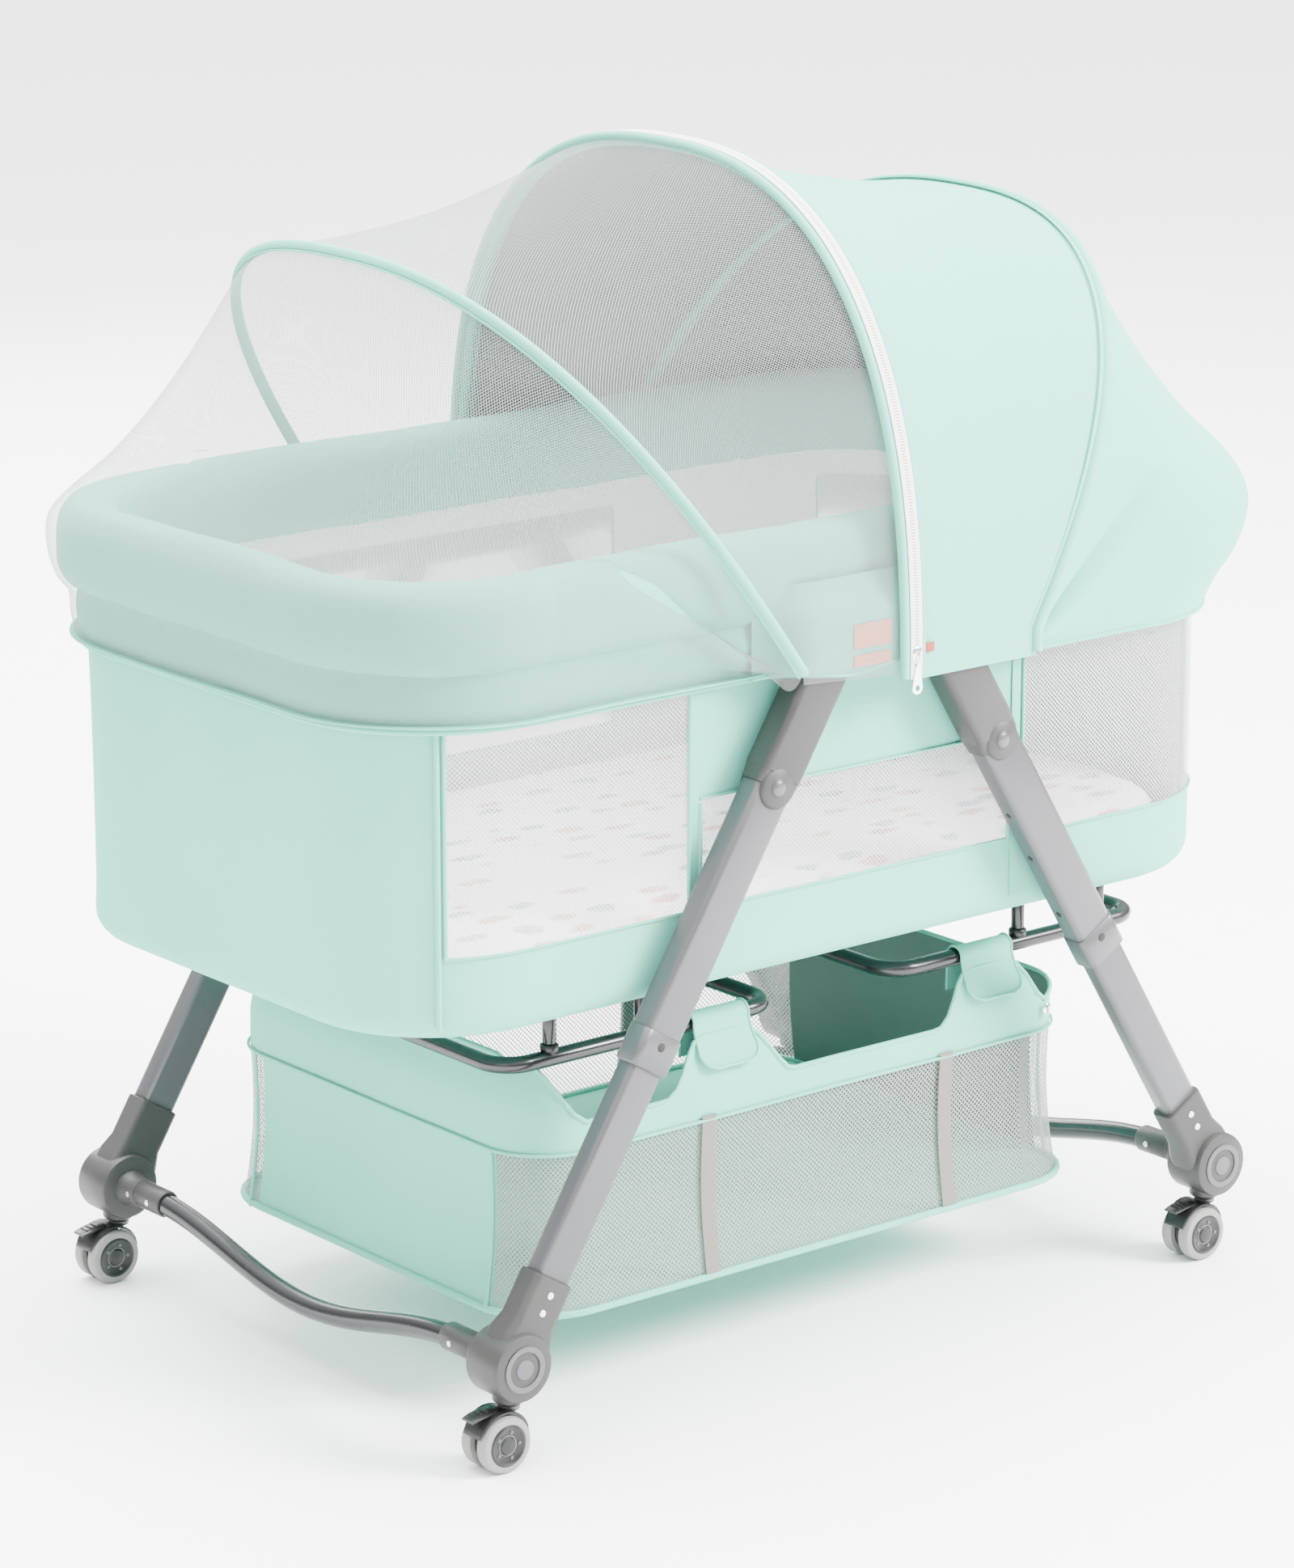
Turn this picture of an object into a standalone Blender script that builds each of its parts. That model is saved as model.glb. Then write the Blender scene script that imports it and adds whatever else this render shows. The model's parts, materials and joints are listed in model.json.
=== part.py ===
"""Bassinet on stand: a padded fabric crib on two folding, height-adjustable A-frame legs.

Metres, +Z up, origin on the floor under the middle of the object. +X is the head end, -X the foot end.
Near is the -Y side and far the +Y side. The legs stand at their highest setting.
"""

import math

import bmesh
import bpy
from mathutils import Matrix, Vector

GAP = 0.0003  # between pieces that touch
CORNER_STEPS = 4  # facets in a quarter turn of a crib or basket corner
BAR_CORNER_STEPS = 2

# Crib
CRIB_X = -0.017
CRIB_HALF_LENGTH = 0.485
CRIB_HALF_WIDTH = 0.270
CRIB_CORNER = 0.13
CRIB_WALL = 0.006
CRIB_FLOOR_Z = 0.365
CRIB_FLOOR = 0.008
CRIB_EDGE = 0.022  # rounding of the bottom edge
BOARD = 0.006
MATTRESS = 0.045
MATTRESS_CLEARANCE = 0.006

# Padded rim, its skirt and the top frame tube inside it
HEM_Z = 0.632
ROLL_Z = 0.682
RIM_TOP_Z = 0.757
RIM_OUT = 0.025  # how far the roll stands out from the crib wall
RIM_IN = 0.035
SKIRT = 0.002
TOP_TUBE_RADIUS = 0.010
TUBE_CLEARANCE = 0.0008
ROUND_TUBE_WALL = 0.0012
TUBE_SLIT = 0.002  # where a round tube's ends meet

# Legs: distances are along the leg, down from its pivot
PIVOT_X = 0.059
PIVOT_Z = 0.655
FOOT_X = 0.4085
FOOT_Z = 0.091
LEG_X = -0.003
LEG_Y = 0.293
HUB_PLATE = 0.004
PIVOT_PIN_RADIUS = 0.005
RUNNING_CLEARANCE = 0.0004
ARM_WIDTH, ARM_DEPTH = 0.046, 0.031
ARM_LENGTH = 0.152
ARM_SOLID = 0.045
TUBE_WIDTH, TUBE_DEPTH = 0.042, 0.025
TUBE_WALL = 0.0018
TUBE_START, TUBE_END = 0.055, 0.395
SLIDE_CLEARANCE = 0.0003
LOWER_START = 0.235
FOOT_SLEEVE_START = 0.585
SLEEVE_WALL = 0.003
SLEEVE_DEPTH_IN = 0.025
BUTTON_AT = 0.132
BUTTON_RADIUS = 0.0072
BUTTON_PROUD = 0.0015
BUTTON_LENGTH = 0.011
PIN_AT = 0.372
PIN_RADIUS = 0.003
HOLE_PITCH = 0.043
HEIGHT_SETTINGS = 3

# Feet, rocker bars and casters
FOOT_RADIUS = 0.030
FOOT_DEPTH = 0.044
BAR_RADIUS = 0.010
BAR_DIP = 0.034
BAR_SOCKET = 0.012
WHEEL_RADIUS = 0.025
WHEEL_WIDTH = 0.013
WHEEL_GAP = 0.010
AXLE_RADIUS = 0.003
CASTER_TRAIL = 0.014
STEM_RADIUS = 0.0055
STEM_IN = 0.022
COLLAR_RADIUS = 0.009
HOUSING_RADIUS = 0.019
PEDAL_LENGTH = 0.024

# Frame loops under the crib, and the storage basket
LOOP_Z = 0.312
LOOP_HALF_WIDTH = 0.204
LOOP_TUBE_RADIUS = 0.0075
LOOP_CORNER = 0.028
FRONT_LOOP = (-0.347, -0.047)
REAR_LOOP = (0.091, 0.395)
POST_RADIUS = 0.006
POSTS_FROM_END = (0.05, 0.15)  # from the loop's end under the end of the crib
BASKET_HALF_LENGTH = 0.328
BASKET_HALF_WIDTH = 0.235
BASKET_CORNER = 0.07
BASKET_BOTTOM_Z = 0.085
BASKET_TOP_Z = 0.262
BASKET_WALL = 0.004
STRAP_WIDTH = 0.065
STRAP = 0.002
STRAP_X = (-0.115, 0.198)

# Hood and net bows: (foot x, lean back in degrees, height along the lean)
BOW_FOOT_Z = 0.640
BOW_CLEARANCE = 0.001  # between the bows and the legs they pass outside of
BOW_RADIUS = 0.004
BOW_SQUARENESS = 2.5
MAIN_BOW = (0.008, -1.5, 0.402)
REAR_BOW = (0.158, 30.0, 0.383)
NET_BOW = (-0.109, -36.0, 0.424)
CLOTH = 0.003
CLOTH_SETBACK = 0.07  # share of the way from bow to bow that stays clear of each bow
CLOTH_FOOT_TURN = 0.11  # where the cloth starts on a bow, above the leg pivots
COVER_OUT = 0.033  # how far the hood and the net hang outside the crib wall
HOOD_END_OUT = COVER_OUT - 2 * CRIB_X  # the hood hangs further out past the head end
COVER_CREST_Z = 0.742
COVER_SIDE_REACH = 0.15  # the cover stays above the leg pivots within this distance of them

LEAN = math.atan2(FOOT_X - PIVOT_X, PIVOT_Z - FOOT_Z)
LEG_LENGTH = math.hypot(FOOT_X - PIVOT_X, PIVOT_Z - FOOT_Z)
BOW_HALF_WIDTH = LEG_Y + ARM_DEPTH / 2 + BOW_CLEARANCE + BOW_RADIUS
SIDES = {"near": -1, "far": 1}
ENDS = {"front": -1, "rear": 1}

COLORS = {
    "mint": ((0.52, 0.80, 0.71), 0.8, 0.0),
    "mattress": ((0.93, 0.93, 0.92), 0.85, 0.0),
    "net": ((0.85, 0.87, 0.87), 0.8, 0.0),
    "board": ((0.35, 0.33, 0.30), 0.7, 0.0),
    "steel": ((0.50, 0.50, 0.53), 0.35, 0.7),
    "dark_steel": ((0.25, 0.24, 0.24), 0.3, 0.9),
    "grey_plastic": ((0.36, 0.35, 0.34), 0.5, 0.0),
    "black_plastic": ((0.03, 0.03, 0.035), 0.4, 0.0),
    "tyre": ((0.62, 0.60, 0.58), 0.6, 0.0),
}


def clear_scene():
    for obj in list(bpy.data.objects):
        bpy.data.objects.remove(obj, do_unlink=True)


def make_collections():
    parts = bpy.data.collections.new("bassinet_on_stand")
    cutters = bpy.data.collections.new("cutters")
    for collection in (parts, cutters):
        bpy.context.scene.collection.children.link(collection)
    cutters.hide_render = True
    return parts, cutters


def make_materials():
    made = {}
    for name, (color, roughness, metallic) in COLORS.items():
        material = bpy.data.materials.new(name)
        material.use_nodes = True
        shader = material.node_tree.nodes["Principled BSDF"]
        shader.inputs["Base Color"].default_value = (*color, 1)
        shader.inputs["Roughness"].default_value = roughness
        shader.inputs["Metallic"].default_value = metallic
        made[name] = material
    return made


def add_object(name, data, slot, parent=None, matrix=None):
    """Puts data in the parts collection, at matrix in its parent's space."""
    obj = bpy.data.objects.new(name, data)
    PARTS.objects.link(obj)
    data.materials.append(MATERIALS[slot])
    obj.parent = parent
    obj.matrix_local = matrix or Matrix()
    return obj


def add_empty(name, matrix, parent=None):
    empty = bpy.data.objects.new(name, None)
    PARTS.objects.link(empty)
    empty.parent = parent
    empty.matrix_local = matrix
    return empty


def finish_mesh(bm, name, smooth=True):
    bmesh.ops.recalc_face_normals(bm, faces=bm.faces)
    mesh = bpy.data.meshes.new(name)
    bm.to_mesh(mesh)
    bm.free()
    if smooth:
        mesh.shade_smooth()
        mesh.set_sharp_from_angle(angle=math.radians(35))
    return mesh


def rounded_outline(half_length, half_width, radius, center_x=0.0, steps=CORNER_STEPS):
    """Corner-rounded rectangle in XY, anticlockwise from the end of its -Y side."""
    points = []
    for quarter, (sx, sy) in enumerate([(1, -1), (1, 1), (-1, 1), (-1, -1)]):
        for step in range(steps + 1):
            angle = math.radians(-90 + 90 * quarter + 90 * step / steps)
            x = center_x + sx * (half_length - radius) + radius * math.cos(angle)
            points.append((x, sy * (half_width - radius) + radius * math.sin(angle)))
    return points


def crib_outline(offset):
    return rounded_outline(
        CRIB_HALF_LENGTH + offset, CRIB_HALF_WIDTH + offset, CRIB_CORNER + offset, CRIB_X
    )


def loft(name, rings, capped=True):
    """A mesh through rings of the same point count. Uncapped, the last ring joins the first."""
    bm = bmesh.new()
    rows = [[bm.verts.new(point) for point in ring] for ring in rings]
    count = len(rows[0])
    for index in range(len(rows) - (1 if capped else 0)):
        low, high = rows[index], rows[(index + 1) % len(rows)]
        for side in range(count):
            after = (side + 1) % count
            bm.faces.new((low[side], low[after], high[after], high[side]))
    if capped:
        bm.faces.new(rows[0][::-1])
        bm.faces.new(rows[-1])
    return finish_mesh(bm, name)


def crib_rings(profile):
    """Rings round the crib for (offset from the outer wall face, height) pairs."""
    return [[(x, y, z) for x, y in crib_outline(offset)] for offset, z in profile]


def bar_mesh(name, width, depth, start, end, radius=0.006):
    """A rounded bar down -Z, from start to end below the origin."""
    outline = rounded_outline(width / 2, depth / 2, radius, steps=BAR_CORNER_STEPS)
    return loft(name, [[(x, y, -level) for x, y in outline] for level in (start, end)])


def cylinder_mesh(name, radius, start, end, axis="Z", segments=16):
    """A cylinder between two places on an axis through the origin."""
    bm = bmesh.new()
    bmesh.ops.create_cone(
        bm, cap_ends=True, segments=segments, radius1=radius, radius2=radius, depth=abs(end - start)
    )
    turn = {"Z": Matrix(), "Y": Matrix.Rotation(-math.pi / 2, 4, "X"),
            "X": Matrix.Rotation(math.pi / 2, 4, "Y")}[axis]
    bmesh.ops.transform(bm, matrix=turn @ Matrix.Translation((0, 0, (start + end) / 2)), verts=bm.verts)
    return finish_mesh(bm, name)


def box_mesh(name, low, high):
    bm = bmesh.new()
    bmesh.ops.create_cube(bm, size=1.0)
    low, high = Vector(low), Vector(high)
    size = Matrix.Diagonal((*(high - low), 1))
    bmesh.ops.transform(bm, matrix=Matrix.Translation((low + high) / 2) @ size, verts=bm.verts)
    return finish_mesh(bm, name, smooth=False)


def tube_mesh(name, points, radius, cyclic=False, sides=2):
    """A round tube along points, made as a curve and then turned into a mesh."""
    curve = bpy.data.curves.new(name, "CURVE")
    curve.dimensions = "3D"
    curve.bevel_depth = radius
    curve.bevel_resolution = sides
    curve.use_fill_caps = True
    spline = curve.splines.new("POLY")
    spline.points.add(len(points) - 1)
    for target, point in zip(spline.points, points):
        target.co = (*point, 1)
    spline.use_cyclic_u = cyclic
    holder = bpy.data.objects.new(name, curve)
    bpy.context.scene.collection.objects.link(holder)
    graph = bpy.context.evaluated_depsgraph_get()
    mesh = bpy.data.meshes.new_from_object(holder.evaluated_get(graph))
    bpy.data.objects.remove(holder, do_unlink=True)
    bm = bmesh.new()
    bm.from_mesh(mesh)
    bmesh.ops.remove_doubles(bm, verts=bm.verts, dist=1e-5)
    bpy.data.meshes.remove(mesh)
    return finish_mesh(bm, name)


def cut_or_join(target, operation, mesh, matrix=None):
    """Adds a Boolean with mesh, placed at matrix in the target's own space."""
    helper = bpy.data.objects.new(f"{target.name}_{operation.lower()}_{len(target.modifiers)}", mesh)
    CUTTERS.objects.link(helper)
    helper.hide_render = True
    helper.display_type = "WIRE"
    helper.parent = target
    helper.matrix_local = matrix or Matrix()
    modifier = target.modifiers.new(helper.name, "BOOLEAN")
    modifier.operation = operation
    modifier.object = helper


def grid_shell(name, rows, thickness, slot, parent=None, matrix=None):
    """A cloth of rows of points, given its thickness inward."""
    bm = bmesh.new()
    verts = [[bm.verts.new(point) for point in row] for row in rows]
    for low, high in zip(verts, verts[1:]):
        for index in range(len(low) - 1):
            bm.faces.new((low[index], low[index + 1], high[index + 1], high[index]))
    mesh = bpy.data.meshes.new(name)
    bm.to_mesh(mesh)
    bm.free()
    obj = add_object(name, mesh, slot, parent, matrix)
    solid = obj.modifiers.new("thickness", "SOLIDIFY")
    solid.thickness = thickness
    solid.offset = -1
    return obj


def hollow_out(tube, path, radius, meeting_point):
    """Makes a closed ring of tube hollow, with a slit along X at the point where its ends meet."""
    reach = radius * 2
    at = Vector(meeting_point)
    low = at - Vector((reach, TUBE_SLIT / 2, reach))
    cut_or_join(tube, "DIFFERENCE", box_mesh("slit", low, at + Vector((reach, TUBE_SLIT / 2, reach))))
    cut_or_join(tube, "DIFFERENCE", tube_mesh("bore", path, radius - ROUND_TUBE_WALL, cyclic=True))


# ---------------------------------------------------------------- crib


def build_crib():
    inner = -CRIB_WALL
    wall_top = RIM_TOP_Z - 0.0495
    floor_top = CRIB_FLOOR_Z + CRIB_FLOOR
    shell = [(-CRIB_EDGE, CRIB_FLOOR_Z)]
    for step in range(1, 4):
        angle = math.radians(30 * step)
        rise = CRIB_EDGE * (1 - math.cos(angle))
        shell.append((CRIB_EDGE * (math.sin(angle) - 1), CRIB_FLOOR_Z + rise))
    shell += [(0, wall_top), (inner, wall_top), (inner, CRIB_FLOOR_Z + CRIB_EDGE)]
    shell += [(inner - CRIB_EDGE / 2, floor_top)]
    add_object("crib_shell", loft("crib_shell", crib_rings(shell)), "mint")

    inset = inner - CRIB_EDGE / 2 - GAP - MATTRESS_CLEARANCE
    board_low = floor_top + GAP
    board_high = board_low + BOARD
    board = [(inset, board_low), (inset, board_high)]
    add_object("base_board", loft("base_board", crib_rings(board)), "board")
    pad_low = board_high + GAP
    pad_high = pad_low + MATTRESS
    pad = [(inset - 0.006, pad_low), (inset, pad_low + 0.008), (inset, pad_high - 0.010),
           (inset - 0.008, pad_high)]
    add_object("mattress", loft("mattress", crib_rings(pad)), "mattress")


def build_rim():
    """The padded rim is open underneath, where it takes the top tube and the crib wall."""
    groove = TOP_TUBE_RADIUS + TUBE_CLEARANCE
    tube_offset = -CRIB_WALL / 2
    tube_z = RIM_TOP_Z - 0.039
    skin = GAP + SKIRT
    section = [
        (GAP, HEM_Z), (skin, HEM_Z), (skin, ROLL_Z - 0.002), (RIM_OUT * 0.7, ROLL_Z + 0.004),
        (RIM_OUT, ROLL_Z + 0.023), (RIM_OUT, RIM_TOP_Z - 0.022), (RIM_OUT * 0.5, RIM_TOP_Z - 0.004),
        (-0.006, RIM_TOP_Z), (0.009 - RIM_IN, RIM_TOP_Z - 0.006), (-RIM_IN, RIM_TOP_Z - 0.026),
        (-RIM_IN, ROLL_Z + 0.008), (0.005 - RIM_IN, ROLL_Z - 0.007),
        (tube_offset - groove, ROLL_Z - 0.007), (tube_offset - groove, tube_z + groove),
        (tube_offset + groove, tube_z + groove), (tube_offset + groove, ROLL_Z + 0.018),
        (GAP, ROLL_Z + 0.013),
    ]
    add_object("rim_pad", loft("rim_pad", crib_rings(section), capped=False), "mint")
    path = [(x, y, tube_z) for x, y in crib_outline(tube_offset)]
    tube = add_object("rim_tube", tube_mesh("rim_tube", path, TOP_TUBE_RADIUS, cyclic=True), "dark_steel")
    hollow_out(tube, path, TOP_TUBE_RADIUS, (CRIB_X + CRIB_HALF_LENGTH, 0, tube_z))


def build_hub(side, sign):
    """The plate on the crib's side that both legs pivot on."""
    plate_in = CRIB_HALF_WIDTH + GAP + SKIRT + 2 * GAP
    plate_out = plate_in + HUB_PLATE
    top, bottom = ROLL_Z - 0.003, HEM_Z - 0.008
    reach = PIVOT_X + 0.024
    low, high = sorted((sign * plate_in, sign * plate_out))
    mesh = box_mesh(f"hub_{side}", (-reach, low, bottom), (reach, high, top))
    hub = add_object(f"hub_{side}", mesh, "grey_plastic", None, Matrix.Translation((LEG_X, 0, 0)))
    for end_sign in ENDS.values():
        pin = cylinder_mesh(
            "pivot_pin", PIVOT_PIN_RADIUS, plate_in + 0.001, LEG_Y + ARM_DEPTH / 2 - 0.002, "Y", 12
        )
        place = Matrix.Translation((end_sign * PIVOT_X, 0, PIVOT_Z))
        if sign < 0:
            place = place @ Matrix.Rotation(math.pi, 4, "X")
        cut_or_join(hub, "UNION", pin, place)


# ---------------------------------------------------------------- legs and feet


def build_leg(end, end_sign, side, sign, fold, slide):
    """One leg, in the space of its end's fold empty: the leg runs down -Z from the pivot."""
    name = f"{end}_{side}"
    place = Matrix.Translation((0, sign * LEG_Y, 0))
    arm = add_object(
        f"arm_{name}", bar_mesh("arm", ARM_WIDTH, ARM_DEPTH, 0, ARM_LENGTH), "grey_plastic", fold, place
    )
    half = ARM_DEPTH / 2
    knuckle = cylinder_mesh("knuckle", ARM_WIDTH / 2, -half, half, "Y", 20)
    cut_or_join(arm, "UNION", knuckle)
    bore = PIVOT_PIN_RADIUS + RUNNING_CLEARANCE
    cut_or_join(arm, "DIFFERENCE", cylinder_mesh("bore", bore, -0.03, 0.03, "Y", 12))
    socket = bar_mesh(
        "socket", TUBE_WIDTH + 2 * GAP, TUBE_DEPTH + 2 * GAP, ARM_SOLID, ARM_LENGTH + 0.02
    )
    cut_or_join(arm, "DIFFERENCE", socket)
    window = cylinder_mesh(
        "window", BUTTON_RADIUS + RUNNING_CLEARANCE, 0, sign * 0.03, "Y", 14
    )
    at_button = Matrix.Translation((0, 0, -BUTTON_AT))
    cut_or_join(arm, "DIFFERENCE", window, at_button)

    tube = add_object(
        f"tube_{name}", bar_mesh("tube", TUBE_WIDTH, TUBE_DEPTH, TUBE_START, TUBE_END), "steel", fold, place
    )
    hollow_width, hollow_depth = TUBE_WIDTH - 2 * TUBE_WALL, TUBE_DEPTH - 2 * TUBE_WALL
    hollow = bar_mesh("hollow", hollow_width, hollow_depth, TUBE_START - 0.01, TUBE_END + 0.01, 0.005)
    cut_or_join(tube, "DIFFERENCE", hollow)
    cut_or_join(tube, "DIFFERENCE", window, at_button)
    for setting in range(HEIGHT_SETTINGS):
        hole = cylinder_mesh("hole", PIN_RADIUS + RUNNING_CLEARANCE, 0, sign * 0.03, "Y", 10)
        down = PIN_AT - setting * HOLE_PITCH
        cut_or_join(tube, "DIFFERENCE", hole, Matrix.Translation((0, 0, -down)))

    outer = ARM_DEPTH / 2 + BUTTON_PROUD
    button = cylinder_mesh("button", BUTTON_RADIUS, sign * (outer - BUTTON_LENGTH), sign * outer, "Y", 14)
    add_object(f"leg_button_{name}", button, "steel", fold, place @ at_button)

    width, depth = hollow_width - 2 * SLIDE_CLEARANCE, hollow_depth - 2 * SLIDE_CLEARANCE
    lower_end = FOOT_SLEEVE_START + SLEEVE_DEPTH_IN - GAP
    lower = add_object(
        f"lower_tube_{name}", bar_mesh("lower", width, depth, LOWER_START, lower_end, 0.0045),
        "steel", slide, place,
    )
    core = bar_mesh(
        "core", width - 2 * TUBE_WALL, depth - 2 * TUBE_WALL, LOWER_START - 0.01, lower_end - 0.01, 0.003
    )
    cut_or_join(lower, "DIFFERENCE", core)
    at_pin = Matrix.Translation((0, 0, -PIN_AT))
    pin_hole = cylinder_mesh("pin_hole", PIN_RADIUS + RUNNING_CLEARANCE, 0, sign * 0.03, "Y", 10)
    cut_or_join(lower, "DIFFERENCE", pin_hole, at_pin)
    pin_out = depth / 2 - GAP
    pin = cylinder_mesh("pin", PIN_RADIUS, sign * (pin_out - 0.009), sign * pin_out, "Y", 10)
    add_object(f"height_pin_{name}", pin, "black_plastic", slide, place @ at_pin)
    build_foot(name, end_sign, sign, width, depth, lower_end, slide, place)


def build_foot(name, end_sign, sign, width, depth, lower_end, slide, place):
    """Foot casting: a round hub, a sleeve for the leg, a boss for the caster and one for the bar."""
    at_hub = place @ Matrix.Translation((0, 0, -LEG_LENGTH))
    half = FOOT_DEPTH / 2
    foot = add_object(
        f"foot_{name}", cylinder_mesh("foot", FOOT_RADIUS, -half, half, "Y", 20), "grey_plastic", slide, at_hub
    )
    rise = LEG_LENGTH - FOOT_SLEEVE_START
    sleeve = bar_mesh("sleeve", width + 2 * SLEEVE_WALL, depth + 2 * SLEEVE_WALL, -rise, 0)
    cut_or_join(foot, "UNION", sleeve)
    upright = Matrix.Rotation(end_sign * LEAN, 4, "Y")
    boss = cylinder_mesh("boss", 0.014, -FOOT_RADIUS - 0.004, 0, "Z", 14)
    cut_or_join(foot, "UNION", boss, upright)
    neck = cylinder_mesh("neck", BAR_RADIUS + 0.003, 0, -sign * (half + 0.020), "Y", 14)
    cut_or_join(foot, "UNION", neck)
    socket = bar_mesh(
        "socket", width + 2 * GAP, depth + 2 * GAP, -rise - 0.01, lower_end - LEG_LENGTH + GAP, 0.0045
    )
    cut_or_join(foot, "DIFFERENCE", socket)
    bore = cylinder_mesh(
        "bore", STEM_RADIUS + RUNNING_CLEARANCE, -FOOT_RADIUS - 0.02, STEM_IN - FOOT_RADIUS - 0.002, "Z", 12
    )
    cut_or_join(foot, "DIFFERENCE", bore, upright)
    eye = cylinder_mesh(
        "eye", BAR_RADIUS + GAP, -sign * (half + 0.020 - BAR_SOCKET), -sign * (half + 0.03), "Y", 14
    )
    cut_or_join(foot, "DIFFERENCE", eye)


def build_bar(end, end_sign, slide):
    """Rocker bar from foot to foot, dipping in the middle so that the stand can rock without casters."""
    reach = LEG_Y - FOOT_DEPTH / 2 - 0.020 + BAR_SOCKET - GAP
    straight = reach - 0.035
    upright = Matrix.Rotation(end_sign * LEAN, 4, "Y")
    points = [(0, -reach, 0)]
    for step in range(13):
        share = -1 + step / 6
        points.append((0, straight * share, -BAR_DIP * (0.5 + 0.5 * math.cos(math.pi * share))))
    points.append((0, reach, 0))
    at_hub = Matrix.Translation((0, 0, -LEG_LENGTH)) @ upright
    bar = add_object(f"rocker_bar_{end}", tube_mesh("bar", points, BAR_RADIUS), "steel", slide, at_hub)
    bore = [(0, -reach - 0.01, 0), *points[1:-1], (0, reach + 0.01, 0)]
    cut_or_join(bar, "DIFFERENCE", tube_mesh("bore", bore, BAR_RADIUS - ROUND_TUBE_WALL))


def build_caster(end, side, x, y):
    """Twin-wheel caster: a forked housing that swivels, one turned pair of wheels and a brake pedal."""
    name = f"{end}_{side}"
    swivel = add_empty(f"swivel_{name}", Matrix.Translation((x, y, 0)))
    at_axle = Matrix.Translation((-CASTER_TRAIL, 0, WHEEL_RADIUS))
    roll = add_empty(f"roll_{name}", at_axle, swivel)
    half_gap = WHEEL_GAP / 2
    body_half = half_gap - 2 * RUNNING_CLEARANCE
    stem_low = 2 * WHEEL_RADIUS + 0.001
    foot_low = FOOT_Z - FOOT_RADIUS - 0.004
    stem = cylinder_mesh("stem", STEM_RADIUS, stem_low + 0.002, foot_low - 0.001 + STEM_IN, "Z", 12)
    housing = add_object(f"caster_body_{name}", stem, "black_plastic", swivel)
    collar = cylinder_mesh("collar", COLLAR_RADIUS, stem_low, foot_low - 0.002, "Z", 14)
    cut_or_join(housing, "UNION", collar)
    web = cylinder_mesh("web", HOUSING_RADIUS, -body_half, body_half, "Y", 16)
    cut_or_join(housing, "UNION", web, at_axle)
    link_half = body_half - 0.0007
    link = box_mesh(
        "link", (-CASTER_TRAIL + 0.001, -link_half, 0.0305), (COLLAR_RADIUS * 0.8, link_half, stem_low + 0.0015)
    )
    cut_or_join(housing, "UNION", link)
    axle_bore = cylinder_mesh("axle_bore", AXLE_RADIUS + RUNNING_CLEARANCE, -0.02, 0.02, "Y", 10)
    cut_or_join(housing, "DIFFERENCE", axle_bore, at_axle)
    outer = half_gap + WHEEL_WIDTH
    wheels = bpy.data.meshes.new("wheels")
    bm = bmesh.new()
    profile = [(0.0, outer), (WHEEL_RADIUS - 0.003, outer), (WHEEL_RADIUS, outer - 0.003),
               (WHEEL_RADIUS, half_gap), (AXLE_RADIUS, half_gap)]
    profile += [(radius, -level) for radius, level in profile[::-1]]
    verts = [bm.verts.new((radius, 0, level)) for radius, level in profile]
    for first, second in zip(verts, verts[1:]):
        bm.edges.new((first, second))
    bm.to_mesh(wheels)
    bm.free()
    lying = Matrix.Rotation(math.pi / 2, 4, "X")
    wheel_pair = add_object(f"caster_wheels_{name}", wheels, "tyre", roll, lying)
    screw = wheel_pair.modifiers.new("turn", "SCREW")
    screw.steps = screw.render_steps = 18
    screw.use_merge_vertices = True
    screw.merge_threshold = 0.00001
    hinge_z = 2 * WHEEL_RADIUS + 0.002
    hinge = add_empty(f"brake_{name}", Matrix.Translation((-CASTER_TRAIL - 0.006, 0, hinge_z)), swivel)
    pedal = box_mesh("pedal", (-PEDAL_LENGTH, -0.009, -0.0005), (0.002, 0.009, 0.003))
    add_object(f"brake_pedal_{name}", pedal, "black_plastic", hinge)


def build_stand():
    for end, end_sign in ENDS.items():
        turn = Matrix.Rotation(-end_sign * LEAN, 4, "Y")
        fold = add_empty(f"fold_{end}", Matrix.Translation((LEG_X + end_sign * PIVOT_X, 0, PIVOT_Z)) @ turn)
        slide = add_empty(f"slide_{end}", Matrix(), fold)
        for side, sign in SIDES.items():
            build_leg(end, end_sign, side, sign, fold, slide)
            build_caster(end, side, LEG_X + end_sign * FOOT_X, sign * LEG_Y)
        build_bar(end, end_sign, slide)


# ---------------------------------------------------------------- loops and basket


def build_loop(name, span, end_sign):
    """A closed loop of tube under the crib, hung from it on four posts."""
    middle, half = (span[0] + span[1]) / 2, (span[1] - span[0]) / 2
    path = [(x, y, LOOP_Z) for x, y in rounded_outline(half, LOOP_HALF_WIDTH, LOOP_CORNER, middle)]
    loop = add_object(name, tube_mesh(name, path, LOOP_TUBE_RADIUS, cyclic=True), "dark_steel")
    for inset in POSTS_FROM_END:
        x = middle + end_sign * (half - inset)
        for sign in SIDES.values():
            post = cylinder_mesh("post", POST_RADIUS, LOOP_Z, CRIB_FLOOR_Z - GAP, "Z", 12)
            cut_or_join(loop, "UNION", post, Matrix.Translation((x, sign * LOOP_HALF_WIDTH, 0)))
    hollow_out(loop, path, LOOP_TUBE_RADIUS, (middle - end_sign * half, 0, LOOP_Z))


def build_basket():
    wall, low = BASKET_WALL, BASKET_BOTTOM_Z
    levels = [(0.010, low), (0, low + 0.006), (0, BASKET_TOP_Z), (wall, BASKET_TOP_Z),
              (wall, low + 0.012), (0.016, low + wall)]
    rings = []
    for inset, z in levels:
        outline = rounded_outline(
            BASKET_HALF_LENGTH - inset, BASKET_HALF_WIDTH - inset, BASKET_CORNER - inset, CRIB_X
        )
        rings.append([(x, y, z) for x, y in outline])
    add_object("basket", loft("basket", rings), "mint")


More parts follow.
